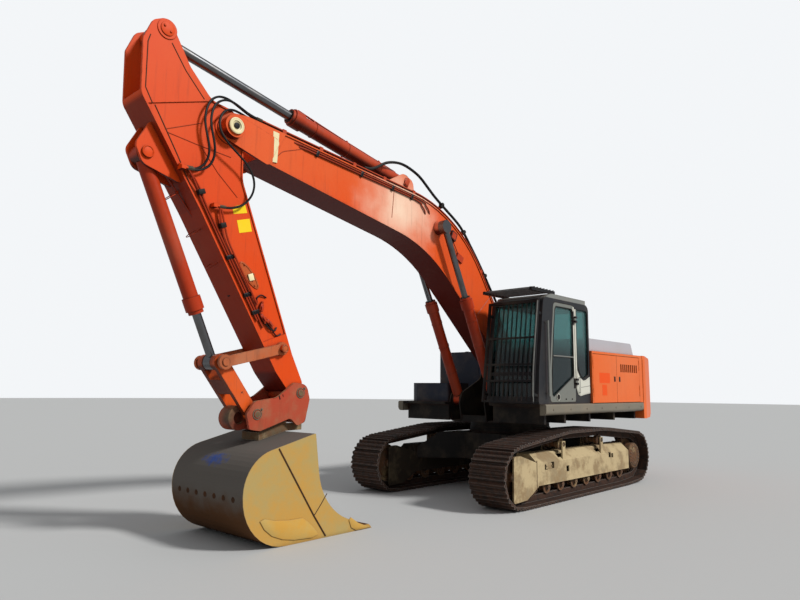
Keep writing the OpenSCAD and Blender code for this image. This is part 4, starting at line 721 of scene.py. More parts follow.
@dataclass(frozen=True)
class WovenFinish:
    """Seat cloth with a plain weave."""

    name: str
    warp: Colour
    weft: Colour
    pitch: float = 420.0

    def build(self) -> bpy.types.Material:
        """Makes the material.

        Returns:
            The finished material.
        """
        material, tree, shader = new_material(self.name)
        place = tree.place()
        across = tree.add("ShaderNodeTexWave", {"Vector": place, "Scale": self.pitch / WEAVE_TURN},
                          bands_direction="X").outputs["Fac"]
        along = tree.add("ShaderNodeTexWave", {"Vector": place, "Scale": self.pitch / WEAVE_TURN},
                         bands_direction="Z").outputs["Fac"]
        weave = tree.math("MAXIMUM", across, along)
        tree.feed(shader.inputs["Base Color"], tree.mix(weave, self.warp, self.weft))
        shader.inputs["Roughness"].default_value = 0.9
        bump = tree.add("ShaderNodeBump", {"Height": weave, "Strength": 0.4, "Distance": 0.001})
        tree.feed(shader.inputs["Normal"], bump.outputs["Normal"])
        return material


class Finish(Enum):
    """The finishes on the machine."""

    # BOOM_ORANGE and ARM_ORANGE darken their faces that look down: painted shade.
    BOOM_ORANGE = PaintFinish("boom_orange", linear(216, 68, 8), linear(218, 86, 30),
                              rusting=0.38, fading=0.35, dusting=0.05, gloss=0.5, painted_underside_shade=linear(84, 22, 14))
    # Painted shade: the arm darkens to a grey brown round its tip.
    ARM_ORANGE = PaintFinish("arm_orange", linear(216, 68, 8), linear(218, 86, 30),
                             rusting=0.42, fading=0.35, dusting=0.05, gloss=0.5, painted_underside_shade=linear(84, 22, 14),
                             spot_colour=linear(112, 74, 48), spot_at=(3.20, 0.0, 1.60), spot_reach=0.30)
    BODY_ORANGE = PaintFinish("body_orange", linear(224, 100, 40), linear(226, 122, 70),
                              rusting=0.12, fading=0.45, edge_wear=0.3, dusting=0.08)
    FRESH_ORANGE = PaintFinish("fresh_orange", linear(230, 76, 6), linear(230, 88, 20), rusting=0.1,
                               fading=0.2, edge_wear=0.0, dusting=0.05)
    # Painted highlight: a pale spot round the boom's bend; its faces that look down take painted shade.
    BOOM_BLEACHED = PaintFinish("boom_painted_highlight", linear(218, 76, 14), linear(222, 104, 52),
                                rusting=0.36, fading=0.35, dusting=0.05, gloss=0.5, painted_underside_shade=linear(84, 22, 14),
                                spot_colour=linear(242, 206, 178), spot_at=(1.40, 0.22, 4.25),
                                spot_reach=1.0)
    COVER_TWO_TONE = PaintFinish("cover_two_tone", linear(224, 100, 40), linear(226, 122, 70),
                                 rusting=0.12, fading=0.45, edge_wear=0.3, dusting=0.08,
                                 upper_paint=linear(176, 174, 178), split_height=2.345)
    # Painted shade: the cylinders' faces that look down take a darker colour.
    CYLINDER_RED = PaintFinish("cylinder_red", linear(172, 52, 22), linear(188, 82, 48), rusting=0.4,
                               dusting=0.12, painted_underside_shade=linear(70, 22, 16))
    # Painted shade: the coupler darkens round its front end, inboard.
    COUPLER_RED = PaintFinish("coupler_red", linear(176, 52, 34), linear(164, 96, 68),
                              rusting=0.6, edge_wear=1.0, dusting=0.8, dust=linear(150, 124, 90),
                              spot_colour=linear(56, 46, 38), spot_at=(4.13, 0.10, 1.31), spot_reach=0.44)
    CAB_GREY = PaintFinish("cab_grey", linear(38, 39, 42), linear(62, 62, 62), fading=0.3,
                           rusting=0.05, dusting=0.12)
    PANEL_GREY = PaintFinish("panel_grey", linear(112, 114, 108), linear(138, 138, 128), fading=0.3,
                             rusting=0.05, dusting=0.15)
    CREAM_PANEL = PaintFinish("cream_panel", linear(204, 202, 188), linear(184, 182, 168), fading=0.4,
                              rusting=0.05, edge_wear=0.15, dusting=0.1)
    ROOF_GREY = PaintFinish("roof_grey", linear(118, 120, 116), linear(142, 140, 132), fading=0.4,
                            rusting=0.05, dusting=0.3)
    SKIRT_GREY = PaintFinish("skirt_grey", linear(116, 110, 97), linear(138, 128, 110), fading=0.5,
                             rusting=0.1, edge_wear=0.3, dusting=0.3)
    TANK_BLUE = PaintFinish("tank_blue", linear(34, 40, 54), linear(52, 58, 70), fading=0.3,
                            rusting=0.12, dusting=0.2)
    FRAME_BLACK = PaintFinish("frame_black", linear(25, 24, 24), linear(46, 42, 37), rusting=0.2,
                              dusting=0.2, gloss=0.55)
    GUARD_BLACK = PaintFinish("guard_black", linear(18, 19, 21), linear(44, 44, 44), rusting=0.1,
                              edge_wear=0.35, dusting=0.1)
    CREAM = PaintFinish("cream", linear(238, 224, 176), linear(214, 200, 156), rusting=0.15, fading=0.3,
                        edge_wear=0.3, dusting=0.1)
    YELLOW = PaintFinish("plate_yellow", linear(244, 204, 20), linear(236, 204, 70), rusting=0.1,
                         fading=0.3, edge_wear=0.0, dusting=0.05)
    WELD = PaintFinish("weld_orange", linear(156, 54, 26), linear(178, 84, 50), rusting=0.5, edge_wear=0.2)
    SEAM = SteelFinish("seam_brown", linear(58, 38, 22), linear(78, 46, 24), muddiness=0.1, polish=0.1)
    MUDDY = SteelFinish("muddy_steel", linear(150, 132, 102), linear(140, 112, 76), muddiness=0.7,
                        mud=linear(184, 164, 126), polish=0.1, rusting=0.5)
    TRACK = SteelFinish("track_steel", linear(44, 38, 35), linear(76, 52, 40), muddiness=0.12,
                        polish=0.55, grain=14.0)
    # Painted shade: a darker copy of the muddy steel for the right side frame.
    FAR_FRAME = SteelFinish("shaded_mud", linear(50, 44, 37), linear(58, 45, 34), muddiness=0.55,
                            mud=linear(88, 77, 59), polish=0.1, rusting=0.5)
    ROLLER = SteelFinish("roller_steel", linear(84, 66, 50), linear(112, 74, 48), muddiness=0.45)
    BUCKET = BucketFinish("bucket_steel", linear(172, 148, 92), linear(194, 142, 60), linear(98, 92, 86),
                          linear(84, 54, 30), linear(60, 80, 140))
    BUCKET_SIDE = SteelFinish("bucket_side", linear(184, 154, 88), linear(198, 144, 54), muddiness=0.15,
                              mud=linear(176, 156, 114), grain=3.0, polish=0.25, rusting=0.7)
    ADAPTER = SteelFinish("adapter_steel", linear(104, 90, 70), linear(110, 76, 50), muddiness=0.5,
                          mud=linear(162, 140, 104))
    # The links darken round one pin of their linkage.
    LINK = PaintFinish("link_paint", linear(186, 84, 38), linear(176, 116, 80), rusting=0.9,
                       edge_wear=1.0, dusting=0.3, spot_colour=linear(50, 42, 36),
                       spot_at=(4.256, 0.15, 1.95), spot_reach=0.32)
    # The push link darkens round the same pin, and its faces that look down take painted shade.
    STAINED_LINK = PaintFinish("darkened_link", linear(220, 84, 20), linear(210, 98, 50), rusting=0.7,
                               edge_wear=1.0, dusting=0.15, painted_underside_shade=linear(70, 26, 16),
                               spot_colour=linear(50, 42, 36), spot_at=(4.256, 0.0, 1.96), spot_reach=0.34)
    CHROME = PlainFinish("chrome", linear(108, 109, 111), linear(84, 78, 72), 0.26, 1.0)
    ENGINE = PlainFinish("engine_grey", linear(66, 66, 64), linear(44, 40, 36), 0.7)
    SLEEVE = PlainFinish("crimped_steel", linear(92, 84, 70), linear(60, 54, 46), 0.45, 0.6)
    INTERIOR = PlainFinish("interior", linear(46, 48, 50), linear(72, 70, 66), 0.65)
    RUBBER = PlainFinish("hose_rubber", linear(24, 24, 25), linear(62, 56, 50), 0.5)
    GLASS = GlassFinish("cab_glass", linear(112, 166, 164), linear(54, 76, 78))
    SEAT = WovenFinish("seat_cloth", linear(40, 41, 44), linear(60, 61, 66))


MADE: dict[Finish, bpy.types.Material] = {}


def material_of(finish: Finish) -> bpy.types.Material:
    """Gives a finish's material, made once.

    Args:
        finish: The finish.

    Returns:
        Its material.
    """
    if finish not in MADE:
        MADE[finish] = finish.value.build()
    return MADE[finish]


NODE_FINISH: dict[str, Finish] = {
    "centre_frame": Finish.FRAME_BLACK, "slew_ring": Finish.FRAME_BLACK,
    "side_frame_left": Finish.MUDDY, "side_frame_right": Finish.FAR_FRAME,
    "track_left": Finish.TRACK, "track_right": Finish.TRACK,
    "idlers": Finish.ROLLER, "sprockets": Finish.ROLLER,
    "lower_rollers": Finish.ROLLER, "carrier_rollers": Finish.ROLLER,
    "main_frame": Finish.FRAME_BLACK, "deck_skirts": Finish.SKIRT_GREY,
    "counterweight": Finish.BODY_ORANGE, "engine_block": Finish.ENGINE,
    "tanks": Finish.TANK_BLUE, "tool_box": Finish.TANK_BLUE,
    "bay_walls": Finish.BODY_ORANGE, "top_covers": Finish.COVER_TWO_TONE,
    "cab_shell": Finish.CAB_GREY, "cab_roof": Finish.ROOF_GREY,
    "cab_glass": Finish.GLASS, "front_guard": Finish.GUARD_BLACK,
    "roof_guard": Finish.GUARD_BLACK, "seat_base": Finish.INTERIOR,
    "seat_pads": Finish.SEAT, "handrails": Finish.ROOF_GREY,
    "cab_door": Finish.PANEL_GREY, "door_glass": Finish.GLASS,
    "service_door_front": Finish.BODY_ORANGE, "service_door_rear": Finish.BODY_ORANGE,
    "pump_door": Finish.BODY_ORANGE, "hood": Finish.BODY_ORANGE,
    "boom_shell": Finish.BOOM_BLEACHED, "boom_pipes": Finish.CYLINDER_RED,
    "boom_lamp": Finish.CYLINDER_RED, "boom_barrels": Finish.CYLINDER_RED,
    "boom_rods": Finish.CHROME, "arm_barrel": Finish.CYLINDER_RED, "arm_rod": Finish.CHROME,
    "arm_shell": Finish.ARM_ORANGE, "bucket_barrel": Finish.CYLINDER_RED,
    "hose_outer": Finish.RUBBER, "hose_middle": Finish.RUBBER, "hose_inner": Finish.RUBBER,
    "bucket_rod": Finish.CHROME, "side_links": Finish.LINK, "push_link": Finish.STAINED_LINK,
    "coupler": Finish.COUPLER_RED, "bucket_adapter": Finish.ADAPTER, "bucket": Finish.BUCKET,
}


def dress_frame() -> None:
    """Gives each CAD node its finish."""
    for name, piece in frame["nodes"].items():
        finish = NODE_FINISH[name]
        piece.data.materials.clear()
        piece.data.materials.append(material_of(finish))
        LOG.info("%s wears %s", name, finish.value.name)


MACHINE_X = -1.77378
DEFORMING = "boom", "arm"


@dataclass(frozen=True)
class Datum:
    """A working frame on the machine's centre plane: x runs along its heading, z stands above it."""

    x: float
    z: float
    heading: float = 0.0

    def matrix(self) -> Matrix:
        """Gives the move from this frame to the row frame."""
        turn = Matrix.Rotation(-math.radians(self.heading), 4, "Y")
        return Matrix.Translation((MACHINE_X + self.x, 0.0, self.z)) @ turn


MACHINE = Datum(0.0, 0.0)
BOOM = Datum(0.229, 2.008, 23.933)
ARM = Datum(6.083303, 4.606299, -110.31)
COUPLER = Datum(4.974, 1.609, -21.38)
TIP = Datum(4.974, 0.0)
BOOM_CYLINDER = Datum(0.995, 1.5, 63.7)
ARM_CYLINDER = Datum(2.950339, 4.78032, 9.91)
BUCKET_CYLINDER = Datum(6.987409, 4.098942, -131.2)
ARM_PIN = Datum(6.083303, 4.606299)
ROW = Datum(-MACHINE_X, 0.0)

Point = tuple[float, float, float]


def deselect() -> None:
    """Clears the selection, so that an operator acts only on what is picked next."""
    if bpy.context.object is not None and bpy.context.object.mode != "OBJECT":
        bpy.ops.object.mode_set(mode="OBJECT")
    bpy.ops.object.select_all(action="DESELECT")


def pick(*pieces: bpy.types.Object) -> None:
    """Selects pieces.

    Args:
        *pieces: The pieces, of which the first becomes active.
    """
    deselect()
    for piece in pieces:
        piece.select_set(True)
    bpy.context.view_layer.objects.active = pieces[0]


def settle(piece: bpy.types.Object) -> bpy.types.Object:
    """Puts a piece's turn, scale and place into its mesh.

    Args:
        piece: The piece.

    Returns:
        The same piece.
    """
    pick(piece)
    bpy.ops.object.transform_apply(location=True, rotation=True, scale=True)
    return piece


def modify(piece: bpy.types.Object, kind: str, **settings) -> bpy.types.Object:
    """Adds a modifier to a piece and applies it.

    Args:
        piece: The piece.
        kind: The modifier's type name.
        **settings: Properties of the modifier.

    Returns:
        The same piece.
    """
    pick(piece)
    bpy.ops.object.modifier_add(type=kind)
    modifier = piece.modifiers[-1]
    for name, value in settings.items():
        setattr(modifier, name, value)
    bpy.ops.object.modifier_apply(modifier=modifier.name)
    return piece


def chamfer(piece: bpy.types.Object, width: float, segments: int = 2) -> bpy.types.Object:
    """Rounds a piece's sharp edges.

    Args:
        piece: The piece.
        width: Radius of the edges, or 0 for sharp ones.
        segments: Steps across an edge.

    Returns:
        The same piece.
    """
    if width <= 0.0:
        return piece
    return modify(piece, "BEVEL", width=width, segments=segments, limit_method="ANGLE",
                  angle_limit=math.radians(SHARP_ANGLE))


def block(low: Point, high: Point, edge: float = 0.003) -> bpy.types.Object:
    """Makes a box between two corners.

    Args:
        low: Its lowest corner.
        high: Its highest corner.
        edge: Radius of its edges.

    Returns:
        The box, with its place in its mesh.
    """
    centre = [(a + b) / 2 for a, b in zip(low, high)]
    deselect()
    bpy.ops.mesh.primitive_cube_add(size=1.0, location=centre)
    piece = bpy.context.active_object
    piece.scale = [abs(b - a) for a, b in zip(low, high)]
    return chamfer(settle(piece), edge)


def disc(x: float, z: float, radius: float, y0: float, y1: float, sides: int = 32,
         edge: float = 0.002, bore: float = 0.0) -> bpy.types.Object:
    """Makes a disc that lies across the machine.

    Args:
        x: Its centre along the working frame.
        z: Its centre above the working frame.
        radius: Its radius.
        y0: Its near face.
        y1: Its far face.
        sides: Corners around it.
        edge: Radius of its rims.
        bore: Radius of a blind hole in its outer face.

    Returns:
        The disc.
    """
    deselect()
    bpy.ops.mesh.primitive_cylinder_add(vertices=sides, radius=radius, depth=abs(y1 - y0),
                                        location=(x, (y0 + y1) / 2, z), rotation=(math.pi / 2, 0.0, 0.0))
    piece = settle(bpy.context.active_object)
    if bore > 0.0:
        sink_face(piece, Vector((0.0, 1.0 if y1 > y0 else -1.0, 0.0)), radius - bore, abs(y1 - y0) * 0.6)
    return chamfer(piece, edge)


def vertical_disc(x: float, y: float, radius: float, z0: float, z1: float, sides: int = 28,
                  edge: float = 0.003) -> bpy.types.Object:
    """Makes a disc that stands on a level face.

    Args:
        x: Its centre along the working frame.
        y: Its centre across the working frame.
        radius: Its radius.
        z0: Its foot.
        z1: Its top.
        sides: Corners around it.
        edge: Radius of its rims.

    Returns:
        The disc.
    """
    deselect()
    bpy.ops.mesh.primitive_cylinder_add(vertices=sides, radius=radius, depth=z1 - z0,
                                        location=(x, y, (z0 + z1) / 2))
    return chamfer(settle(bpy.context.active_object), edge)


def sink_face(piece: bpy.types.Object, towards: Vector, rim: float, depth: float) -> None:
    """Insets the face that looks one way and sinks it.

    Args:
        piece: The piece.
        towards: Where the face looks.
        rim: Width that is left around it.
        depth: How deep it sinks, or how high it stands where negative.
    """
    pick(piece)
    bpy.ops.object.mode_set(mode="EDIT")
    bpy.ops.mesh.select_mode(type="FACE")
    bpy.ops.mesh.select_all(action="DESELECT")
    bpy.ops.object.mode_set(mode="OBJECT")
    for face in piece.data.polygons:
        face.select = face.normal.dot(towards) > SAME_WAY
    bpy.ops.object.mode_set(mode="EDIT")
    bpy.ops.mesh.inset(thickness=rim, depth=0.0)
    bpy.ops.mesh.extrude_region_move(TRANSFORM_OT_translate={"value": tuple(-towards * depth)})
    bpy.ops.object.mode_set(mode="OBJECT")


def prism(corners: Sequence[tuple[float, float]], y0: float, y1: float,
          edge: float = 0.003) -> bpy.types.Object:
    """Makes a plate from an outline in the working frame.

    Args:
        corners: Its outline, as x and z.
        y0: Where its one face lies.
        y1: Where its other face lies.
        edge: Radius of its edges.

    Returns:
        The plate.
    """
    deselect()
    bpy.ops.mesh.primitive_circle_add(vertices=len(corners), radius=1.0, fill_type="NGON")
    piece = bpy.context.active_object
    for vertex, (x, z) in zip(piece.data.vertices, corners):
        vertex.co = (x, y0, z)
    pick(piece)
    bpy.ops.object.mode_set(mode="EDIT")
    bpy.ops.mesh.select_all(action="SELECT")
    bpy.ops.mesh.extrude_region_move(TRANSFORM_OT_translate={"value": (0.0, y1 - y0, 0.0)})
    bpy.ops.mesh.select_all(action="SELECT")
    bpy.ops.mesh.normals_make_consistent(inside=False)
    bpy.ops.object.mode_set(mode="OBJECT")
    return chamfer(settle(piece), edge)


def torus(centre: Point, major: float, minor: float, axis: str = "Y", sides: int = 36) -> bpy.types.Object:
    """Makes a round ring about one axis.

    Args:
        centre: Its centre.
        major: Radius of the ring's middle line.
        minor: Radius of its section.
        axis: The axis that it lies round.
        sides: Corners around it.

    Returns:
        The ring.
    """
    turn = {"X": (0.0, math.pi / 2, 0.0), "Y": (math.pi / 2, 0.0, 0.0), "Z": (0.0, 0.0, 0.0)}[axis]
    deselect()
    bpy.ops.mesh.primitive_torus_add(major_radius=major, minor_radius=minor, major_segments=sides,
                                     minor_segments=8, location=centre, rotation=turn)
    return settle(bpy.context.active_object)


def smoothed(points: Sequence[Vector]) -> list[Vector]:
    """Puts a point on the curve between each pair of a route's points.

    Args:
        points: The route.

    Returns:
        The route with the new points between its own.
    """
    last = len(points) - 1
    out: list[Vector] = []
    for i in range(last):
        before, after = points[max(i - 1, 0)], points[min(i + 2, last)]
        out += [points[i], (9 * (points[i] + points[i + 1]) - before - after) / 16]
    return out + [points[last]]


def tube(points: Iterable[Sequence[float]], radius: float, rounds: int = 0,
         sides: int = 3) -> bpy.types.Object:
    """Makes a round pipe along a route.

    Args:
        points: The points that its middle follows.
        radius: Its radius.
        rounds: How many times the route is smoothed.
        sides: Steps in a quarter of its section.

    Returns:
        The pipe, as a mesh with closed ends.
    """
    route = [Vector(point) for point in points]
    for _ in range(rounds):
        route = smoothed(route)
    curve = bpy.data.curves.new("pipe", "CURVE")
    curve.dimensions = "3D"
    curve.bevel_depth = radius
    curve.bevel_resolution = sides - 2
    curve.use_fill_caps = True
    spline = curve.splines.new("POLY")
    spline.points.add(len(route) - 1)
    for knot, place in zip(spline.points, route):
        knot.co = (*place, 1.0)
    piece = bpy.data.objects.new("pipe", curve)
    bpy.context.scene.collection.objects.link(piece)
    pick(piece)
    bpy.ops.object.convert(target="MESH")
    piece = bpy.context.active_object
    pick(piece)
    bpy.ops.object.mode_set(mode="EDIT")
    bpy.ops.mesh.select_all(action="SELECT")
    bpy.ops.mesh.remove_doubles(threshold=MERGE_DISTANCE)
    bpy.ops.mesh.normals_make_consistent(inside=False)
    bpy.ops.object.mode_set(mode="OBJECT")
    return piece


def bolt(x: float, y: float, z: float, radius: float = 0.014, side: int = 1,
         height: float = 0.010) -> bpy.types.Object:
    """Makes a hexagon bolt head with its washer on a face that looks across the machine.

    Args:
        x: Its centre along the working frame.
        y: Where the face lies.
        z: Its centre above the working frame.
        radius: Radius of the head's corners.
        side: 1 where the face looks left, -1 where it looks right.
        height: How high the head stands on the washer.

    Returns:
        The bolt.
    """
    washer = disc(x, z, radius * 1.35, y - side * 0.001, y + side * 0.003, 12, 0.0)
    head = disc(x, z, radius, y + side * 0.002, y + side * (0.002 + height), 6, 0.001)
    return join("bolt", [washer, head])


def copies(piece: bpy.types.Object, moves: Sequence[Matrix]) -> list[bpy.types.Object]:
    """Copies a piece to each place, every copy with its own mesh.

    Args:
        piece: The piece, modelled once.
        moves: How each copy is moved.

    Returns:
        The pieces; the first of them is the given piece, moved by the first matrix.
    """
    made = []
    for move in moves[1:]:
        twin = piece.copy()
        twin.data = piece.data.copy()
        twin.data.transform(move)
        bpy.context.scene.collection.objects.link(twin)
        made.append(twin)
    piece.data.transform(moves[0])
    return [piece] + made


def shifts(places: Iterable[Sequence[float]]) -> list[Matrix]:
    """Gives the move to each place."""
    return [Matrix.Translation(Vector(place)) for place in places]


def turns(count: int, x: float, z: float, start: float = 0.0, axis: str = "Y") -> list[Matrix]:
    """Gives a full circle of turns about a point of the working frame.

    Args:
        count: How many turns share the circle.
        x: The point along the frame.
        z: The point above it.
        start: Angle of the first turn in radians.
        axis: The axis that it turns round.

    Returns:
        The turns.
    """
    centre = Matrix.Translation((x, 0.0, z))
    back = Matrix.Translation((-x, 0.0, -z))
    return [centre @ Matrix.Rotation(start + math.tau * i / count, 4, axis) @ back for i in range(count)]


def mirrored(piece: bpy.types.Object) -> bpy.types.Object:
    """Copies a piece to the machine's other side.

    Args:
        piece: The piece.

    Returns:
        The copy.
    """
    twin = piece.copy()
    twin.data = piece.data.copy()
    twin.data.transform(Matrix.Scale(-1.0, 4, (0.0, 1.0, 0.0)))
    twin.data.flip_normals()
    bpy.context.scene.collection.objects.link(twin)
    return twin


def both_sides(parts: Sequence[bpy.types.Object]) -> list[bpy.types.Object]:
    """Adds the mirrored twin of each part."""
    return [*parts, *(mirrored(part) for part in parts)]


def join(name: str, parts: Sequence[bpy.types.Object]) -> bpy.types.Object:
    """Joins parts into one piece.

    Args:
        name: The piece's name.
        parts: The parts, used up by it.

    Returns:
        The piece.
    """
    pick(*parts)
    if len(parts) > 1:
        bpy.ops.object.join()
    piece = bpy.context.active_object
    piece.name = name
    piece.data.name = name
    return piece


def fit(name: str, parts: Sequence[bpy.types.Object], finish: Finish, body: str,
        datum: Datum = MACHINE, smooth: float = 35.0) -> bpy.types.Object:
    """Joins parts, moves them from their working frame into place, finishes them and fixes them.

    Args:
        name: The piece's name.
        parts: What it is made of.
        finish: Its finish.
        body: The body that carries it.
        datum: The working frame that the parts were made in.
        smooth: Angle in degrees below which faces shade smooth.

    Returns:
        The finished piece.
    """
    piece = join(name, parts)
    piece.data.transform(datum.matrix())
    pick(piece)
    bpy.ops.object.shade_smooth_by_angle(angle=math.radians(smooth))
    piece.data.materials.clear()
    piece.data.materials.append(material_of(finish))
    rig.ride(piece, body)
    LOG.info("%s: %d faces on %s", name, len(piece.data.polygons), body)
    return piece


@dataclass(frozen=True)
class HoseRoute:
    """One free hose between the boom's pipes and the arm, in the machine's own frame."""

    name: str
    points: tuple[Point, ...]
    length: float
    bend_from: Point
    bend_to: Point


@dataclass
class ArmHoses:
    """The three hoses that loop past the arm's pin."""

    radius: float = 0.014
    sleeve_radius: float = 0.0195
    sleeve_length: float = 0.07
    rounds: int = 2
    routes: tuple[HoseRoute, ...] = (
        HoseRoute("hose_outer", (
            (5.656, 0.218, 4.844), (5.740, 0.218, 4.851), (5.860, 0.222, 4.872), (5.980, 0.236, 4.904),
            (6.110, 0.258, 4.920), (6.230, 0.284, 4.880), (6.330, 0.310, 4.790), (6.380, 0.326, 4.670),
            (6.388, 0.334, 4.540), (6.360, 0.334, 4.420), (6.328, 0.328, 4.300), (6.324, 0.314, 4.180),
            (6.370, 0.294, 4.070), (6.480, 0.276, 4.000), (6.599, 0.272, 3.990)),
            1.738, (6.10, 0.3, 4.92), (6.40, 0.3, 4.05)),
        HoseRoute("hose_middle", (
            (5.656, 0.186, 4.844), (5.740, 0.186, 4.853), (5.850, 0.189, 4.882), (5.970, 0.196, 4.922),
            (6.110, 0.214, 4.952), (6.250, 0.242, 4.930), (6.360, 0.268, 4.846), (6.426, 0.288, 4.710),
            (6.442, 0.298, 4.560), (6.412, 0.300, 4.420), (6.376, 0.292, 4.300), (6.370, 0.278, 4.190),
            (6.410, 0.260, 4.084), (6.496, 0.242, 4.020), (6.599, 0.240, 4.010)),
            1.771, (6.10, 0.3, 4.92), (6.40, 0.3, 4.05)),
        HoseRoute("hose_inner", (
            (5.657, 0.154, 4.844), (5.740, 0.155, 4.847), (5.840, 0.164, 4.850), (5.950, 0.194, 4.852),
            (6.060, 0.238, 4.834), (6.170, 0.286, 4.784), (6.254, 0.322, 4.694), (6.292, 0.344, 4.580),
            (6.264, 0.352, 4.470), (6.170, 0.350, 4.374), (6.050, 0.342, 4.298), (5.920, 0.332, 4.212),
            (5.820, 0.322, 4.100), (5.786, 0.312, 3.970), (5.820, 0.298, 3.840), (5.920, 0.280, 3.726),
            (6.060, 0.264, 3.668), (6.190, 0.260, 3.660)),
            2.209, (6.25, 0.3, 4.60), (5.90, 0.3, 3.75)))

    def placed(self, point: Point) -> Vector:
        """Moves a point from the machine's frame to the row frame."""
        return Vector(point) + Vector((MACHINE_X, 0.0, 0.0))

    def build(self) -> None:
        """Makes the hoses and their crimped sleeves."""
        for route in self.routes:
            self.build_hose(route)

    def build_hose(self, route: HoseRoute) -> None:
        """Makes one hose with a sleeve at each end.

        Args:
            route: Its name, route and length.
        """
        line = [self.placed(point) for point in route.points]
        path = line
        for _ in range(self.rounds):
            path = smoothed(path)
        hose = tube(path, self.radius)
        hose.name = hose.data.name = route.name + "_rubber"
        hose.data.materials.append(material_of(Finish.RUBBER))
        pick(hose)
        bpy.ops.object.shade_smooth_by_angle(angle=math.radians(50.0))
        start, end = self.placed(route.bend_from), self.placed(route.bend_to)
        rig.blend(hose, *DEFORMING, start, end)
        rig.replaces(hose, route.name)
        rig.slot(hose, "hose_rubber")
        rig.cord(hose, exit=tuple(line[0]), length=route.length, diameter=2 * self.radius,
                far_end="object", stiffness="stiff", lay="hanging",
                path=[tuple(point) for point in path])
        for end_name, body, outer, inner in (("boom_sleeve", "boom", line[0], line[1]),
                                             ("arm_sleeve", "arm", line[-1], line[-2])):
            reach = (inner - outer).normalized() * self.sleeve_length
            sleeve = tube([outer - reach * 0.1, outer + reach], self.sleeve_radius)
            self.dress_sleeve(sleeve, route.name + "_" + end_name, body)

    def dress_sleeve(self, sleeve: bpy.types.Object, name: str, body: str) -> None:
        """Finishes a sleeve and fixes it to its body."""
        fit(name, [sleeve], Finish.SLEEVE, body, ROW)


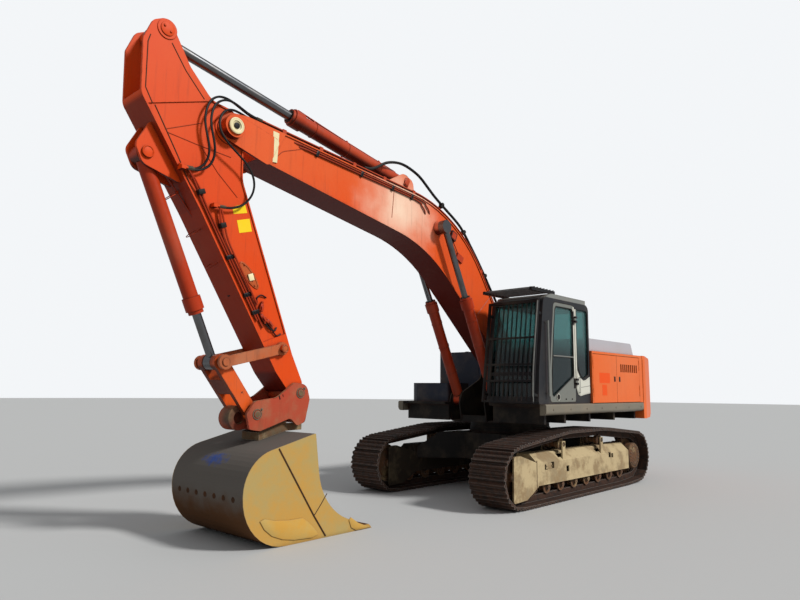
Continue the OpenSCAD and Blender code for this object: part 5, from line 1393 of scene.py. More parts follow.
@dataclass
class BoomDressing:
    """Pipes, seams, lamp and stripe on the boom."""

    web: float = 0.221
    flange: float = 0.235
    line_radius: float = 0.011
    back_line: tuple[Point, ...] = (
        (4.45, 0.17, 1.02), (4.33, 0.175, 1.09), (4.22, 0.18, 1.23), (4.12, 0.18, 1.37), (3.95, 0.18, 1.51),
        (3.75, 0.18, 1.60), (3.47, 0.18, 1.645), (3.25, 0.18, 1.62), (3.04, 0.18, 1.585),
        (2.81, 0.18, 1.565), (2.58, 0.18, 1.553), (2.34, 0.18, 1.535), (2.15, 0.18, 1.49),
        (1.94, 0.18, 1.405), (1.64, 0.18, 1.275), (1.345, 0.18, 1.135), (1.05, 0.18, 0.985),
        (0.80, 0.18, 0.865))
    stripe: tuple[tuple[float, float], ...] = ((5.927, 0.385), (5.842, 0.415), (5.705, 0.061), (5.765, 0.029))
    stripe_on_ear: tuple[tuple[float, float], ...] = (
        (5.792, 0.090), (5.8915, 0.307), (5.850, 0.314), (5.826, 0.312), (5.806, 0.298), (5.795, 0.278),
        (5.792, 0.262))
    ear_face: float = 0.254
    lamp_low: tuple[float, float] = (2.350, 1.150)
    lamp_high: tuple[float, float] = (2.480, 1.290)
    flange_at: tuple[float, float] = (2.456, 1.632)
    flange_fall: float = 0.349
    bead: float = 0.005

    def build(self) -> None:
        """Makes every piece on the boom."""
        self.build_web_lines()
        self.build_back_line()
        self.build_seams()
        self.build_stripe()
        self.build_lamp()
        self.build_foot_hardware()

    def top_of_web(self, x: float) -> float:
        """Gives the height of the arm-side top flange over the pin line at x."""
        return self.flange_at[1] - self.flange_fall * (x - self.flange_at[0])

    def build_web_lines(self) -> None:
        """Runs two thin pipes with clamps along the left web under the top flange."""
        parts = []
        reach = self.web + self.line_radius + 0.006
        for inset, start, stop in ((0.055, 5.50, 3.34), (0.088, 5.42, 3.42)):
            run = [(x, reach, self.top_of_web(x) - inset) for x in (start, (start + stop) / 2, stop)]
            tail = [(stop - 0.16, reach, self.top_of_web(stop) - inset + 0.005),
                    (stop - 0.26, reach, self.top_of_web(stop) - inset - 0.035),
                    (stop - 0.30, self.web - 0.004, self.top_of_web(stop) - inset - 0.06)]
            head = [(start + 0.06, self.web - 0.004, self.top_of_web(start) - inset - 0.02)]
            parts.append(tube(head + run + tail, self.line_radius, 1))
        pipes = fit("boom_web_pipes", parts, Finish.CYLINDER_RED, "boom", BOOM)
        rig.slot(pipes, "cylinder_red")
        clamp = block((-0.022, self.web - 0.002, -0.115), (0.022, reach + 0.012, -0.028), 0.004)
        heads = [bolt(0.0, reach + 0.012, -0.071, 0.008, 1, 0.006)]
        clamp = join("clamp", [clamp] + heads)
        places = [(x, 0.0, self.top_of_web(x)) for x in (5.25, 4.49, 3.90, 3.50)]
        fit("boom_web_clamps", copies(clamp, shifts(places)), Finish.GUARD_BLACK, "boom", BOOM)

    def build_back_line(self) -> None:
        """Lays the thick return pipe over the arm cylinder's base and along the boom's back."""
        fit("boom_return_pipe", [tube(self.back_line, 0.021, 2, 4)], Finish.RUBBER, "boom", BOOM)
        saddle = block((-0.025, -0.034, -0.060), (0.025, 0.034, 0.026), 0.005)
        saddle = join("saddle", [saddle, disc(0.0, 0.0, 0.029, -0.036, 0.036, 20)])
        moves = []
        for i in (9, 12, 15):
            x, y, z = self.back_line[i]
            ahead = Vector(self.back_line[i + 1]) - Vector(self.back_line[i - 1])
            lean = math.atan2(-ahead.z, -ahead.x)
            moves.append(Matrix.Translation((x, y, z)) @ Matrix.Rotation(-lean, 4, "Y"))
        fit("boom_return_saddles", copies(saddle, moves), Finish.FRAME_BLACK, "boom", BOOM)

    def build_seams(self) -> None:
        """Lays the weld beads where the web's plates meet."""
        beads = []
        for side in (1, -1):
            y = side * (self.web + 0.001)
            beads += [tube([(3.86, y, 1.09), (3.72, y, 0.66)], self.bead),
                      tube([(1.10, y, 0.86), (1.34, y, 0.34)], self.bead),
                      tube([(5.45, y, 0.50), (5.62, y, 0.33), (5.70, y, 0.24), (5.74, y, 0.10)],
                           self.bead, 1)]
        fit("boom_weld_beads", beads, Finish.WELD, "boom", BOOM)

    def build_stripe(self) -> None:
        """Paints the cream stripe near the boom's tip, as a thin film on the plate."""
        films = [prism(self.stripe, self.flange - 0.012, self.flange + 0.0012, 0.0)]
        films.append(prism(self.stripe_on_ear, self.ear_face - 0.004, self.ear_face + 0.0012, 0.0))
        fit("boom_cream_stripe", both_sides(films), Finish.CREAM, "boom", BOOM)

    def build_lamp(self) -> None:
        """Covers the lamp's box in black with a sunk front, and gives it two cables."""
        (x0, z0), (x1, z1) = self.lamp_low, self.lamp_high
        depth = self.flange + 0.031
        shell = block((x0 - 0.002, self.web + 0.004, z0 - 0.002), (x1 + 0.002, depth, z1 + 0.002), 0.006)
        sink_face(shell, Vector((0.0, 1.0, 0.0)), 0.012, 0.006)
        fit("boom_lamp_housing", [shell], Finish.GUARD_BLACK, "boom", BOOM)
        cable = tube([(x0 + 0.02, 0.235, z0 - 0.01), (x0 - 0.03, 0.24, z0 - 0.05),
                      (x0 - 0.10, 0.24, z0 - 0.09), (x0 - 0.20, 0.234, z0 - 0.15),
                      (x0 - 0.27, 0.226, z0 - 0.20)], 0.006, 2)
        second = tube([(x0 + 0.07, 0.235, z0 - 0.01), (x0 + 0.02, 0.242, z0 - 0.07),
                       (x0 + 0.06, 0.242, z0 - 0.12), (x0 + 0.13, 0.232, z0 - 0.13)], 0.006, 2)
        fit("boom_lamp_cable", [cable, second], Finish.RUBBER, "boom", BOOM)

    def build_foot_hardware(self) -> None:
        """Bolts a keeper plate to each end of the arm cylinder's base pin."""
        keeper = prism(((-0.045, -0.09), (0.045, -0.09), (0.045, 0.03), (0.0, 0.062), (-0.045, 0.03)),
                       0.148, 0.156, 0.002)
        plate = join("keeper", [keeper, bolt(-0.02, 0.156, -0.068, 0.011), bolt(0.02, 0.156, -0.068, 0.011)])
        plate.data.transform(Matrix.Translation((3.612, 0.0, 1.43)))
        fit("arm_cylinder_keepers", both_sides([plate]), Finish.CYLINDER_RED, "boom", BOOM)


@dataclass
class ArmDressing:
    """Pipes, valves, plates, seams and pin caps on the arm."""

    web: float = 0.204
    flange: float = 0.218
    line_radius: float = 0.011
    web_joint: tuple[tuple[float, float], ...] = (
        (-0.300, 0.842), (-0.163, 0.815), (0.246, 0.738), (0.700, 0.664))
    cheek_joints: tuple[tuple[tuple[float, float], ...], ...] = (
        ((-1.030, 0.679), (-0.959, 0.730), (-0.484, 0.900), (-0.316, 0.873)),
        ((-0.949, 0.452), (-0.657, 0.372), (-0.343, 0.234)))
    front_at: tuple[float, float] = (0.831, 0.655)
    front_fall: float = 0.2065
    bead: float = 0.005
    joint: float = 0.006

    def build(self) -> None:
        """Makes every piece on the arm."""
        self.build_pipes()
        self.build_valves()
        self.build_plates()
        self.build_seams()
        self.build_pin_caps()

    def front_of_web(self, x: float) -> float:
        """Gives how far the arm's front flange stands from its pin line at x."""
        return self.front_at[1] - self.front_fall * (x - self.front_at[0])

    def build_pipes(self) -> None:
        """Runs the steel pipes from the hoses down the left web, with their clamps."""
        near = self.web + self.line_radius + 0.008
        far = near + 0.030
        routes = (
            ((0.415, 0.270, 0.695), (0.50, 0.258, 0.665), (0.62, 0.240, 0.632), (0.80, near, 0.600),
             (1.50, near, self.front_of_web(1.50) - 0.060), (2.20, near, self.front_of_web(2.20) - 0.060)),
            ((0.400, 0.238, 0.688), (0.50, 0.232, 0.632), (0.64, 0.226, 0.592), (0.85, near, 0.560),
             (1.50, near, self.front_of_web(1.50) - 0.092), (2.30, near, self.front_of_web(2.30) - 0.092)),
            ((0.870, 0.258, 0.430), (0.98, 0.252, 0.452), (1.12, 0.240, 0.462), (1.28, near, 0.446),
             (1.70, near, self.front_of_web(1.70) - 0.124), (2.12, near, self.front_of_web(2.12) - 0.124)),
            ((0.885, 0.262, 0.415), (1.02, 0.262, 0.425), (1.16, far, 0.430), (1.30, far, 0.420),
             (1.70, far, self.front_of_web(1.70) - 0.136), (2.02, far, self.front_of_web(2.02) - 0.136)))
        pipes = fit("arm_web_pipes", [tube(route, self.line_radius, 2) for route in routes],
                    Finish.CYLINDER_RED, "arm", ARM)
        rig.slot(pipes, "cylinder_red")
        saddle = block((-0.024, self.web - 0.002, -0.150), (0.024, near + 0.013, -0.040), 0.004)
        clamp = join("clamp", [saddle, bolt(0.0, near + 0.013, -0.076, 0.008, 1, 0.006),
                               bolt(0.0, near + 0.013, -0.110, 0.008, 1, 0.006)])
        places = [(x, 0.0, self.front_of_web(x)) for x in (1.42, 1.88, 2.10)]
        fit("arm_pipe_clamps", copies(clamp, shifts(places)), Finish.GUARD_BLACK, "arm", ARM)
        upper = block((-0.028, self.web - 0.002, -0.030), (0.028, 0.262, 0.052), 0.005)
        upper.data.transform(Matrix.Translation((0.66, 0.0, 0.585)))
        lower = block((-0.028, self.web - 0.002, -0.035), (0.028, 0.272, 0.035), 0.005)
        lower.data.transform(Matrix.Translation((1.06, 0.0, 0.444)))
        fit("arm_hose_brackets", [upper, lower], Finish.FRAME_BLACK, "arm", ARM)

    def build_valves(self) -> None:
        """Bolts the shut-off valves of the spare circuit to the web, with their short pipes."""
        y = self.web
        body = join("valve", [block((-0.045, y - 0.002, -0.022), (0.045, y + 0.044, 0.022), 0.005),
                              disc(0.0, 0.0, 0.017, y + 0.04, y + 0.060, 6, 0.001),
                              tube([(-0.075, y + 0.022, 0.0), (0.075, y + 0.022, 0.0)], 0.015),
                              block((-0.008, y + 0.058, -0.012), (0.050, y + 0.066, 0.012), 0.002)])
        valves = (((2.19, 0.0, 0.232), 14.0), ((2.27, 0.0, 0.165), 24.0), ((2.07, 0.0, 0.215), -35.0))
        moves = [Matrix.Translation(place) @ Matrix.Rotation(math.radians(turn), 4, "Y")
                 for place, turn in valves]
        fit("arm_valves", copies(body, moves), Finish.CYLINDER_RED, "arm", ARM)
        pipes = [tube(((2.25, y + 0.02, 0.215), (2.33, y + 0.03, 0.18), (2.38, y + 0.028, 0.12),
                       (2.35, y + 0.016, 0.07)), 0.009, 2),
                 tube(((2.32, y + 0.02, 0.14), (2.40, y + 0.02, 0.13), (2.45, y + 0.014, 0.09),
                       (2.44, y + 0.010, 0.03)), 0.008, 2),
                 tube(((2.02, y + 0.02, 0.25), (1.95, y + 0.026, 0.24), (1.93, y + 0.024, 0.17),
                       (1.98, y + 0.010, 0.10)), 0.008, 2)]
        fit("arm_valve_pipes", pipes, Finish.RUBBER, "arm", ARM)
        oval = [(1.675 + 0.175 * math.cos(a) - 0.030 * math.sin(a),
                 0.245 - 0.05 * math.cos(a) + 0.075 * math.sin(a))
                for a in (math.tau * i / 36 for i in range(36))]
        cover = prism(oval, y - 0.004, y + 0.010, 0.003)
        sink_face(cover, Vector((0.0, 1.0, 0.0)), 0.016, 0.005)
        studs = [bolt(x, y + 0.009, z, 0.008)
                 for x, z in ((1.545, 0.275), (1.805, 0.215), (1.675, 0.305), (1.675, 0.185))]
        fit("arm_oval_cover", [cover] + studs, Finish.LINK, "arm", ARM)
        tag = block((1.66, y + 0.004, 0.20), (1.74, y + 0.022, 0.27), 0.003)
        fit("arm_cover_tab", [tag], Finish.CREAM, "arm", ARM)

    def build_plates(self) -> None:
        """Fixes the two plain yellow plates to the web."""
        y = self.web + 0.002
        plates = [prism(((0.875, 0.231), (0.858, 0.050), (0.972, 0.050), (0.955, 0.236)), y - 0.003, y, 0.0),
                  prism(((1.031, 0.215), (1.040, 0.040), (1.190, 0.052), (1.178, 0.228)), y - 0.003, y, 0.0)]
        fit("arm_yellow_plates", plates, Finish.YELLOW, "arm", ARM)

    def build_seams(self) -> None:
        """Lays the weld beads of the arm's webs and the dark joints of its plates, which also paint the shade of the
        grooves along them.
        """
        beads = []
        for side in (1, -1):
            y = side * (self.web + 0.001)
            beads += [tube([(-0.044, y, 0.800), (-0.065, y, 0.56), (-0.085, y, 0.340)], self.bead),
                      tube([(-0.012, y, 0.790), (0.149, y, 0.459), (0.320, y, 0.075)], self.bead),
                      tube([(0.180, y, 0.420), (0.480, y, 0.300), (0.780, y, 0.130)], self.bead)]
        fit("arm_weld_beads", beads, Finish.WELD, "arm", ARM)
        # The dark joint lines along the cheeks paint the shade in the grooves between the plates: painted shade.
        joints = []
        for side in (1, -1):
            joints.append(tube([(x, side * (self.web + 0.001), z) for x, z in self.web_joint], self.joint))
            joints += [tube([(x, side * self.flange, z) for x, z in line], self.joint)
                       for line in self.cheek_joints]
        fit("arm_plate_joints", joints, Finish.SEAM, "arm", ARM)

    def build_pin_caps(self) -> None:
        """Caps the pins that the arm carries."""
        base = 0.140
        ring = [disc(0.162, 1.024, 0.066, base, base + 0.008),
                torus((0.162, base + 0.006, 1.024), 0.058, 0.008)]
        fit("bucket_cylinder_cap", both_sides(ring), Finish.BOOM_ORANGE, "arm", ARM)
        eye = [disc(-1.094, 0.466, 0.078, 0.228, 0.238), bolt(-1.06, 0.237, 0.44, 0.012),
               bolt(-1.128, 0.237, 0.492, 0.012)]
        fit("arm_eye_cap", both_sides(eye), Finish.BOOM_ORANGE, "arm", ARM)
        rocker = [disc(2.610, 0.089, 0.050, 0.308, 0.316), torus((2.610, 0.314, 0.089), 0.040, 0.006)]
        fit("rocker_pin_cap", both_sides(rocker), Finish.LINK, "arm", ARM)


@dataclass
class ArmPin:
    """The cream cap of the pin between boom and arm."""

    near: float = 0.354
    radius: float = 0.095
    hole: float = 0.036

    def build(self) -> None:
        """Makes the cap with its dark middle, a disc of painted shade in its bore, on both sides."""
        cap = disc(0.0, 0.0, self.radius, self.near, self.near + 0.018, 40, 0.003, self.hole + 0.020)
        ring = torus((0.0, self.near + 0.012, 0.0), self.radius - 0.012, 0.009)
        fit("arm_pin_cap", both_sides([cap, ring]), Finish.CREAM, "boom", ARM_PIN)
        # Painted shade: a black disc stands for the dark of the bore.
        eye = disc(0.0, 0.0, self.hole, self.near + 0.004, self.near + 0.019, 24)
        fit("arm_pin_bore", both_sides([eye]), Finish.RUBBER, "boom", ARM_PIN)


@dataclass
class CylinderDressing:
    """Gland bolts, wiper and oil pipe of one hydraulic cylinder."""

    name: str
    body: str
    datum: Datum
    radius: float
    rod_radius: float
    length: float
    lane: float = 0.0
    pipe_side: float = 1.0
    both: bool = False
    bolts: int = 8
    pipe_radius: float = 0.012
    port_at: float = 0.26
    port_end: float = 0.10

    def build(self) -> None:
        """Makes the hardware of the gland and the pipe along the barrel."""
        self.build_gland()
        self.build_pipe()

    def spread(self, parts: list[bpy.types.Object]) -> list[bpy.types.Object]:
        """Shifts parts to the cylinder's lane, and mirrors them where there are two.

        Args:
            parts: The parts of one cylinder.

        Returns:
            The parts of one cylinder or of both.
        """
        for part in parts:
            part.data.transform(Matrix.Translation((0.0, self.lane, 0.0)))
        return both_sides(parts) if self.both else parts

    def build_gland(self) -> None:
        """Puts a ring of bolts on the gland's face and a dark wiper round the rod."""
        face = self.length
        ring = self.radius * 0.80
        head = disc(0.0, 0.0, 0.011, -0.005, 0.005, 6, 0.001)
        head.data.transform(Matrix.Rotation(math.pi / 2, 4, "Z"))
        moves = [Matrix.Translation((face + 0.004, ring * math.cos(a), ring * math.sin(a)))
                 for a in (math.tau * i / self.bolts for i in range(self.bolts))]
        bolts = self.spread(copies(head, moves))
        fit(self.name + "_gland_bolts", bolts, Finish.ENGINE, self.body, self.datum)
        wiper = torus((face + 0.001, 0.0, 0.0), self.rod_radius + 0.011, 0.006, "X")
        fit(self.name + "_wiper", self.spread([wiper]), Finish.RUBBER, self.body, self.datum)

    def build_pipe(self) -> None:
        """Runs the oil pipe from the base port to the gland's end, held by three straps."""
        off = self.radius + self.pipe_radius + 0.010
        side = self.pipe_side
        start, stop = self.port_at, self.length - self.port_end
        route = [(start - 0.08, 0.0, side * (self.radius - 0.01)), (start - 0.07, 0.0, side * (off + 0.006)),
                 (start + 0.02, 0.0, side * off), ((start + stop) / 2, 0.0, side * off),
                 (stop - 0.12, 0.0, side * (off + 0.018)), (stop - 0.02, 0.0, side * (off + 0.020)),
                 (stop, 0.0, side * (self.radius + 0.012))]
        parts = [tube(route, self.pipe_radius, 1)]
        for x in (start + 0.25, (start + stop) / 2, stop - 0.30):
            strap = torus((x, 0.0, 0.0), self.radius + 0.003, 0.005, "X")
            cleat = block((x - 0.014, -0.018, side * (self.radius - 0.004)),
                          (x + 0.014, 0.018, side * (off + 0.016)), 0.003)
            parts += [strap, cleat]
        parts.append(block((start - 0.11, -0.024, side * (self.radius - 0.014)),
                           (start - 0.045, 0.024, side * (self.radius + 0.018)), 0.004))
        parts.append(block((stop - 0.03, -0.024, side * (self.radius + 0.010)),
                           (stop + 0.035, 0.024, side * (self.radius + 0.034)), 0.004))
        pipe = fit(self.name + "_pipe", self.spread(parts), Finish.CYLINDER_RED, self.body, self.datum)
        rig.slot(pipe, "cylinder_red")


CYLINDERS = (
    CylinderDressing("boom_cylinder", "boom_barrels", BOOM_CYLINDER, 0.086, 0.048, 1.800, lane=0.360,
                     pipe_side=1.0, both=True),
    CylinderDressing("arm_cylinder", "arm_barrel", ARM_CYLINDER, 0.102, 0.060, 2.165, bolts=10),
    CylinderDressing("bucket_cylinder", "bucket_barrel", BUCKET_CYLINDER, 0.084, 0.050, 1.780,
                     pipe_side=-1.0))


@dataclass
class CabDressing:
    """Seals, post faces, door fittings and controls of the cab."""

    side: float = 1.450
    handle: tuple[float, float] = (0.865, 1.562)
    window: tuple[tuple[float, float], ...] = (
        (0.345, 1.94), (0.36, 1.888), (0.70, 1.722), (1.00, 1.575), (1.035, 1.60), (1.043, 1.75),
        (1.032, 1.98), (1.010, 2.22), (0.965, 2.60), (0.915, 2.93), (0.875, 2.978), (0.60, 2.980),
        (0.375, 2.980), (0.345, 2.95))
    sill: tuple[tuple[float, float], ...] = (
        (0.225, 2.96), (0.228, 2.55), (0.226, 2.14), (0.190, 2.02), (0.110, 1.905), (0.03, 1.862),
        (-0.06, 1.878), (-0.150, 1.915), (-0.166, 1.96), (-0.166, 2.50), (-0.166, 2.95), (-0.13, 2.992),
        (0.05, 2.995), (0.19, 2.992))

    def build(self) -> None:
        """Makes every piece on the cab and its door."""
        self.build_seals()
        self.build_post()
        self.build_sill_panel()
        self.build_door_fittings()
        self.build_guard_edge()
        self.build_controls()

    def build_seals(self) -> None:
        """Lays the black rubber round the side windows and the rail across the door's window."""
        door = [(x, self.side + 0.001, z) for x, z in self.window + self.window[:1]]
        rear = [(x, self.side + 0.001, z) for x, z in self.sill + self.sill[:1]]
        fit("door_window_seal", [tube(door, 0.008)], Finish.RUBBER, "cab_door")
        fit("rear_window_seal", [tube(rear, 0.008)], Finish.RUBBER, "upper")
        out = self.side + 0.004
        rail = [(0.352, out, 2.196), (0.70, out, 2.198), (1.005, out, 2.196)]
        fit("door_window_rail", [tube(rail, 0.011)], Finish.ROOF_GREY, "cab_door")

    def build_post(self) -> None:
        """Faces the post between the door and the rear window in cream, one half on each."""
        y = self.side
        shell = block((0.233, y - 0.001, 1.80), (0.281, y + 0.005, 2.99), 0.003)
        fit("rear_post_face", [shell], Finish.CREAM_PANEL, "upper")
        door = block((0.292, y - 0.001, 1.80), (0.334, y + 0.005, 3.02), 0.003)
        fit("door_post_face", [door], Finish.CREAM_PANEL, "cab_door")

    def build_sill_panel(self) -> None:
        """Fits the pale moulded panel under the rear window, with its slot and its crease."""
        y = self.side
        outline = ((0.272, 2.02), (0.232, 1.98), (0.14, 1.87), (0.03, 1.825), (-0.06, 1.84), (-0.195, 1.895),
                   (-0.200, 1.62), (-0.02, 1.60), (0.14, 1.575), (0.215, 1.60), (0.272, 1.70))
        panel = prism(outline, y - 0.001, y + 0.010, 0.004)
        sink_face(panel, Vector((0.0, 1.0, 0.0)), 0.014, -0.004)
        fit("cab_sill_panel", [panel], Finish.CREAM_PANEL, "upper")
        slot = block((0.150, y + 0.010, 1.62), (0.212, y + 0.016, 1.88), 0.010)
        sink_face(slot, Vector((0.0, 1.0, 0.0)), 0.012, 0.004)
        crease = tube([(-0.195, y + 0.013, 1.745), (0.02, y + 0.013, 1.725), (0.13, y + 0.013, 1.715)], 0.004)
        fit("cab_sill_slot", [slot, crease], Finish.PANEL_GREY, "upper")

    def build_door_fittings(self) -> None:
        """Fits the door's flat hinge leaves, its round handle and its bolts."""
        y = self.side
        leaves = [block((0.304, y - 0.001, 2.72), (0.334, y + 0.0065, 2.95), 0.002),
                  block((0.304, y - 0.001, 1.70), (0.350, y + 0.0065, 1.86), 0.002)]
        fit("door_hinge_leaves", leaves, Finish.GUARD_BLACK, "cab_door")
        x, z = self.handle
        dish = disc(x, z, 0.046, y - 0.002, y + 0.006, 36, 0.002)
        sink_face(dish, Vector((0.0, 1.0, 0.0)), 0.008, 0.005)
        paddle = block((x - 0.027, y + 0.001, z - 0.011), (x + 0.027, y + 0.009, z + 0.011), 0.003)
        fit("door_handle", [dish, paddle], Finish.GUARD_BLACK, "cab_door")
        fit("door_handle_ring", [torus((x, y + 0.004, z), 0.049, 0.005)], Finish.CREAM_PANEL, "cab_door")
        studs = [bolt(x, y, z, 0.009) for x, z in ((0.42, 1.53), (0.62, 1.53))]
        fit("door_sill_bolts", studs, Finish.GUARD_BLACK, "cab_door")

    def build_guard_edge(self) -> None:
        """Fits the worn steel strip along the front guard's outer edge."""
        route = [(1.592, 1.434, 1.50), (1.578, 1.436, 1.90), (1.50, 1.436, 2.45), (1.405, 1.436, 3.02)]
        strip = tube(route, 0.010, 1)
        fit("guard_edge_strip", [strip], Finish.ROOF_GREY, "upper")

    def build_controls(self) -> None:
        """Puts the work levers, the travel levers and the monitor in the cab."""
        lever = join("lever", [tube([(0.0, 0.0, 0.0), (0.015, 0.0, 0.10), (0.02, 0.0, 0.17)], 0.010, 1),
                               disc(0.022, 0.205, 0.024, -0.020, 0.020, 16, 0.008),
                               block((0.002, -0.022, 0.17), (0.044, 0.022, 0.235), 0.016)])
        moves = shifts(((0.58, 0.70, 2.08), (0.58, 1.27, 2.08)))
        fit("control_levers", copies(lever, moves), Finish.INTERIOR, "upper")
        travel = join("travel", [tube([(0.0, 0.0, 0.0), (-0.03, 0.0, 0.22), (-0.10, 0.0, 0.36)], 0.009, 1),
                                 block((-0.06, -0.05, -0.012), (0.08, 0.05, 0.006), 0.004)])
        pair = copies(travel, shifts(((1.16, 0.90, 1.56), (1.16, 1.06, 1.56))))
        fit("travel_levers", pair, Finish.INTERIOR, "upper")
        screen = block((-0.02, -0.13, -0.09), (0.02, 0.13, 0.09), 0.010)
        sink_face(screen, Vector((-1.0, 0.0, 0.0)), 0.012, 0.004)
        screen.data.transform(Matrix.Translation((1.12, 0.66, 2.12)))
        stem = tube([(1.13, 0.62, 1.96), (1.13, 0.65, 2.05)], 0.012)
        fit("cab_monitor", [screen, stem], Finish.INTERIOR, "upper")


@dataclass
class SeatPads:
    """The seat's cushion and back, swollen by a cloth simulation from their CAD solids."""

    voxel: float = 0.006
    pressure: float = 4.0
    frames: int = 20
    cap: float = 0.014
    shrink: float = 0.008

    def build(self) -> None:
        """Makes one padded piece for each of the node's two solids."""
        solid = frame["nodes"]["seat_pads"]
        pads = sorted(self.split(solid), key=self.mean_x)
        for name, pad in zip(("seat_back_pad", "seat_cushion_pad"), pads):
            self.swell(pad)
            pad.name = pad.data.name = name
            pad.data.materials.clear()
            pad.data.materials.append(material_of(Finish.SEAT))
            pick(pad)
            bpy.ops.object.shade_smooth_by_angle(angle=math.radians(60.0))
            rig.ride(pad, "upper")
            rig.replaces(pad, "seat_pads")
            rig.slot(pad, "seat_fabric")
            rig.padded(pad, 0.7)
            LOG.info("%s: %d faces", name, len(pad.data.polygons))

    def mean_x(self, pad: bpy.types.Object) -> float:
        """Gives the mean place of a pad's corners along the machine."""
        return sum(vertex.co.x for vertex in pad.data.vertices) / len(pad.data.vertices)

    def split(self, solid: bpy.types.Object) -> list[bpy.types.Object]:
        """Copies the CAD solids and parts the copy into loose pads.

        Args:
            solid: The CAD node with both pads.

        Returns:
            One object for each pad.
        """
        twin = bpy.data.objects.new("pads", solid.data.copy())
        bpy.context.scene.collection.objects.link(twin)
        twin.data.transform(solid.matrix_world)
        pick(twin)
        bpy.ops.object.mode_set(mode="EDIT")
        bpy.ops.mesh.select_all(action="SELECT")
        bpy.ops.mesh.remove_doubles(threshold=MERGE_DISTANCE)
        bpy.ops.mesh.separate(type="LOOSE")
        bpy.ops.object.mode_set(mode="OBJECT")
        return list(bpy.context.selected_objects)

    def swell(self, pad: bpy.types.Object) -> None:
        """Shrinks a pad a little, lets pressure fill it, caps the movement and smooths it.

        Args:
            pad: The pad.
        """
        modify(pad, "REMESH", mode="VOXEL", voxel_size=self.voxel)
        mesh = pad.data
        start = [vertex.co - vertex.normal * self.shrink for vertex in mesh.vertices]
        for vertex, place in zip(mesh.vertices, start):
            vertex.co = place
        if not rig.quick():
            pick(pad)
            bpy.ops.object.modifier_add(type="CLOTH")
            cloth = pad.modifiers[-1]
            cloth.settings.use_pressure = True
            cloth.settings.uniform_pressure_force = self.pressure
            cloth.settings.effector_weights.gravity = 0.0
            for step in range(1, self.frames + 1):
                bpy.context.scene.frame_set(step)
            bpy.ops.object.modifier_apply(modifier=cloth.name)
            bpy.context.scene.frame_set(1)
            for vertex, place in zip(mesh.vertices, start):
                moved = vertex.co - place
                if moved.length > self.cap:
                    vertex.co = place + moved * (self.cap / moved.length)
        modify(pad, "SMOOTH", factor=0.5, iterations=4)


@dataclass
class BodyDressing:
    """Paint patches, latches, rails and small fittings of the upper body."""

    face: float = 1.489

    def build(self) -> None:
        """Makes every piece on the body."""
        self.build_patches()
        self.build_latches()
        self.build_edges()
        self.build_top_fittings()
        self.build_skirt_bolts()

    def build_patches(self) -> None:
        """Leaves the two patches of unfaded paint on the front service door."""
        y = self.face
        films = [block((-0.905, y - 0.003, 1.795), (-0.500, y + 0.0010, 1.970), 0.0),
                 block((-0.775, y - 0.003, 1.585), (-0.595, y + 0.0010, 1.768), 0.0)]
        fit("unfaded_patches", films, Finish.FRESH_ORANGE, "service_door_front")

    def build_latch(self, x: float, side: int, name: str, body: str) -> None:
        """Fits one paddle latch to a door.

        Args:
            x: Its place along the machine.
            side: 1 for the left side, -1 for the right.
            name: The piece's name.
            body: The door that carries it.
        """
        y = self.face
        pan = block((x - 0.028, y - 0.004, 1.825), (x + 0.028, y + 0.006, 1.915), 0.006)
        sink_face(pan, Vector((0.0, 1.0, 0.0)), 0.008, 0.006)
        paddle = block((x - 0.014, y, 1.845), (x + 0.014, y + 0.010, 1.900), 0.004)
        latch = join(name, [pan, paddle, disc(x, 1.862, 0.008, y, y + 0.012, 12, 0.001)])
        if side < 0:
            other = mirrored(latch)
            bpy.data.objects.remove(latch)
            latch = other
        fit(name, [latch], Finish.GUARD_BLACK, body)

    def build_latches(self) -> None:
        """Fits the latches of the side doors."""
        self.build_latch(-1.100, 1, "front_door_latch", "service_door_front")
        self.build_latch(-1.300, 1, "rear_door_latch", "service_door_rear")
        self.build_latch(-1.345, -1, "pump_door_latch", "pump_door")

    def build_edges(self) -> None:
        """Fits a round rail at each side of the counterweight's front edge."""
        y = self.face + 0.002
        rails = [tube([(-2.350, y, 1.50), (-2.350, y, 1.90), (-2.350, y, 2.26)], 0.010)]
        rails.append(mirrored(rails[0]))
        fit("counterweight_rails", rails, Finish.BODY_ORANGE, "upper")

    def build_top_fittings(self) -> None:
        """Fits lifting eyes, filler caps and hood fasteners on top."""
        eye = join("eye", [block((-0.045, -0.016, -0.01), (0.045, 0.016, 0.030), 0.005),
                           torus((0.0, 0.0, 0.058), 0.036, 0.013)])
        places = [(-2.75, 0.75, 2.335), (-2.75, -0.75, 2.335)]
        fit("lifting_eyes", copies(eye, shifts(places)), Finish.BODY_ORANGE, "upper")
        cap = join("cap", [vertical_disc(0.0, 0.0, 0.055, 0.0, 0.028),
                           vertical_disc(0.0, 0.0, 0.040, 0.026, 0.042)])
        fit("filler_caps", copies(cap, shifts(((-0.30, -1.15, 2.360), (-0.95, -0.85, 2.360)))),
            Finish.GUARD_BLACK, "upper")
        fastener = join("fastener", [block((-0.03, -0.014, -0.03), (0.03, 0.012, 0.03), 0.004),
                                     vertical_disc(0.0, 0.0, 0.012, 0.028, 0.036)])
        fit("hood_fasteners", copies(fastener, shifts(((-2.15, 0.706, 2.42), (-1.40, 0.706, 2.42)))),
            Finish.GUARD_BLACK, "hood")

    def build_skirt_bolts(self) -> None:
        """Puts bolt heads along the deck's skirts on both sides."""
        head = bolt(0.0, 1.494, 1.372, 0.012, 1, 0.006)
        left = copies(head, shifts([(x, 0.0, 0.0) for x in (1.10, 0.55, 0.0, -0.55, -1.10, -1.65, -2.20)]))
        fit("skirt_bolts", both_sides(left), Finish.SKIRT_GREY, "upper")


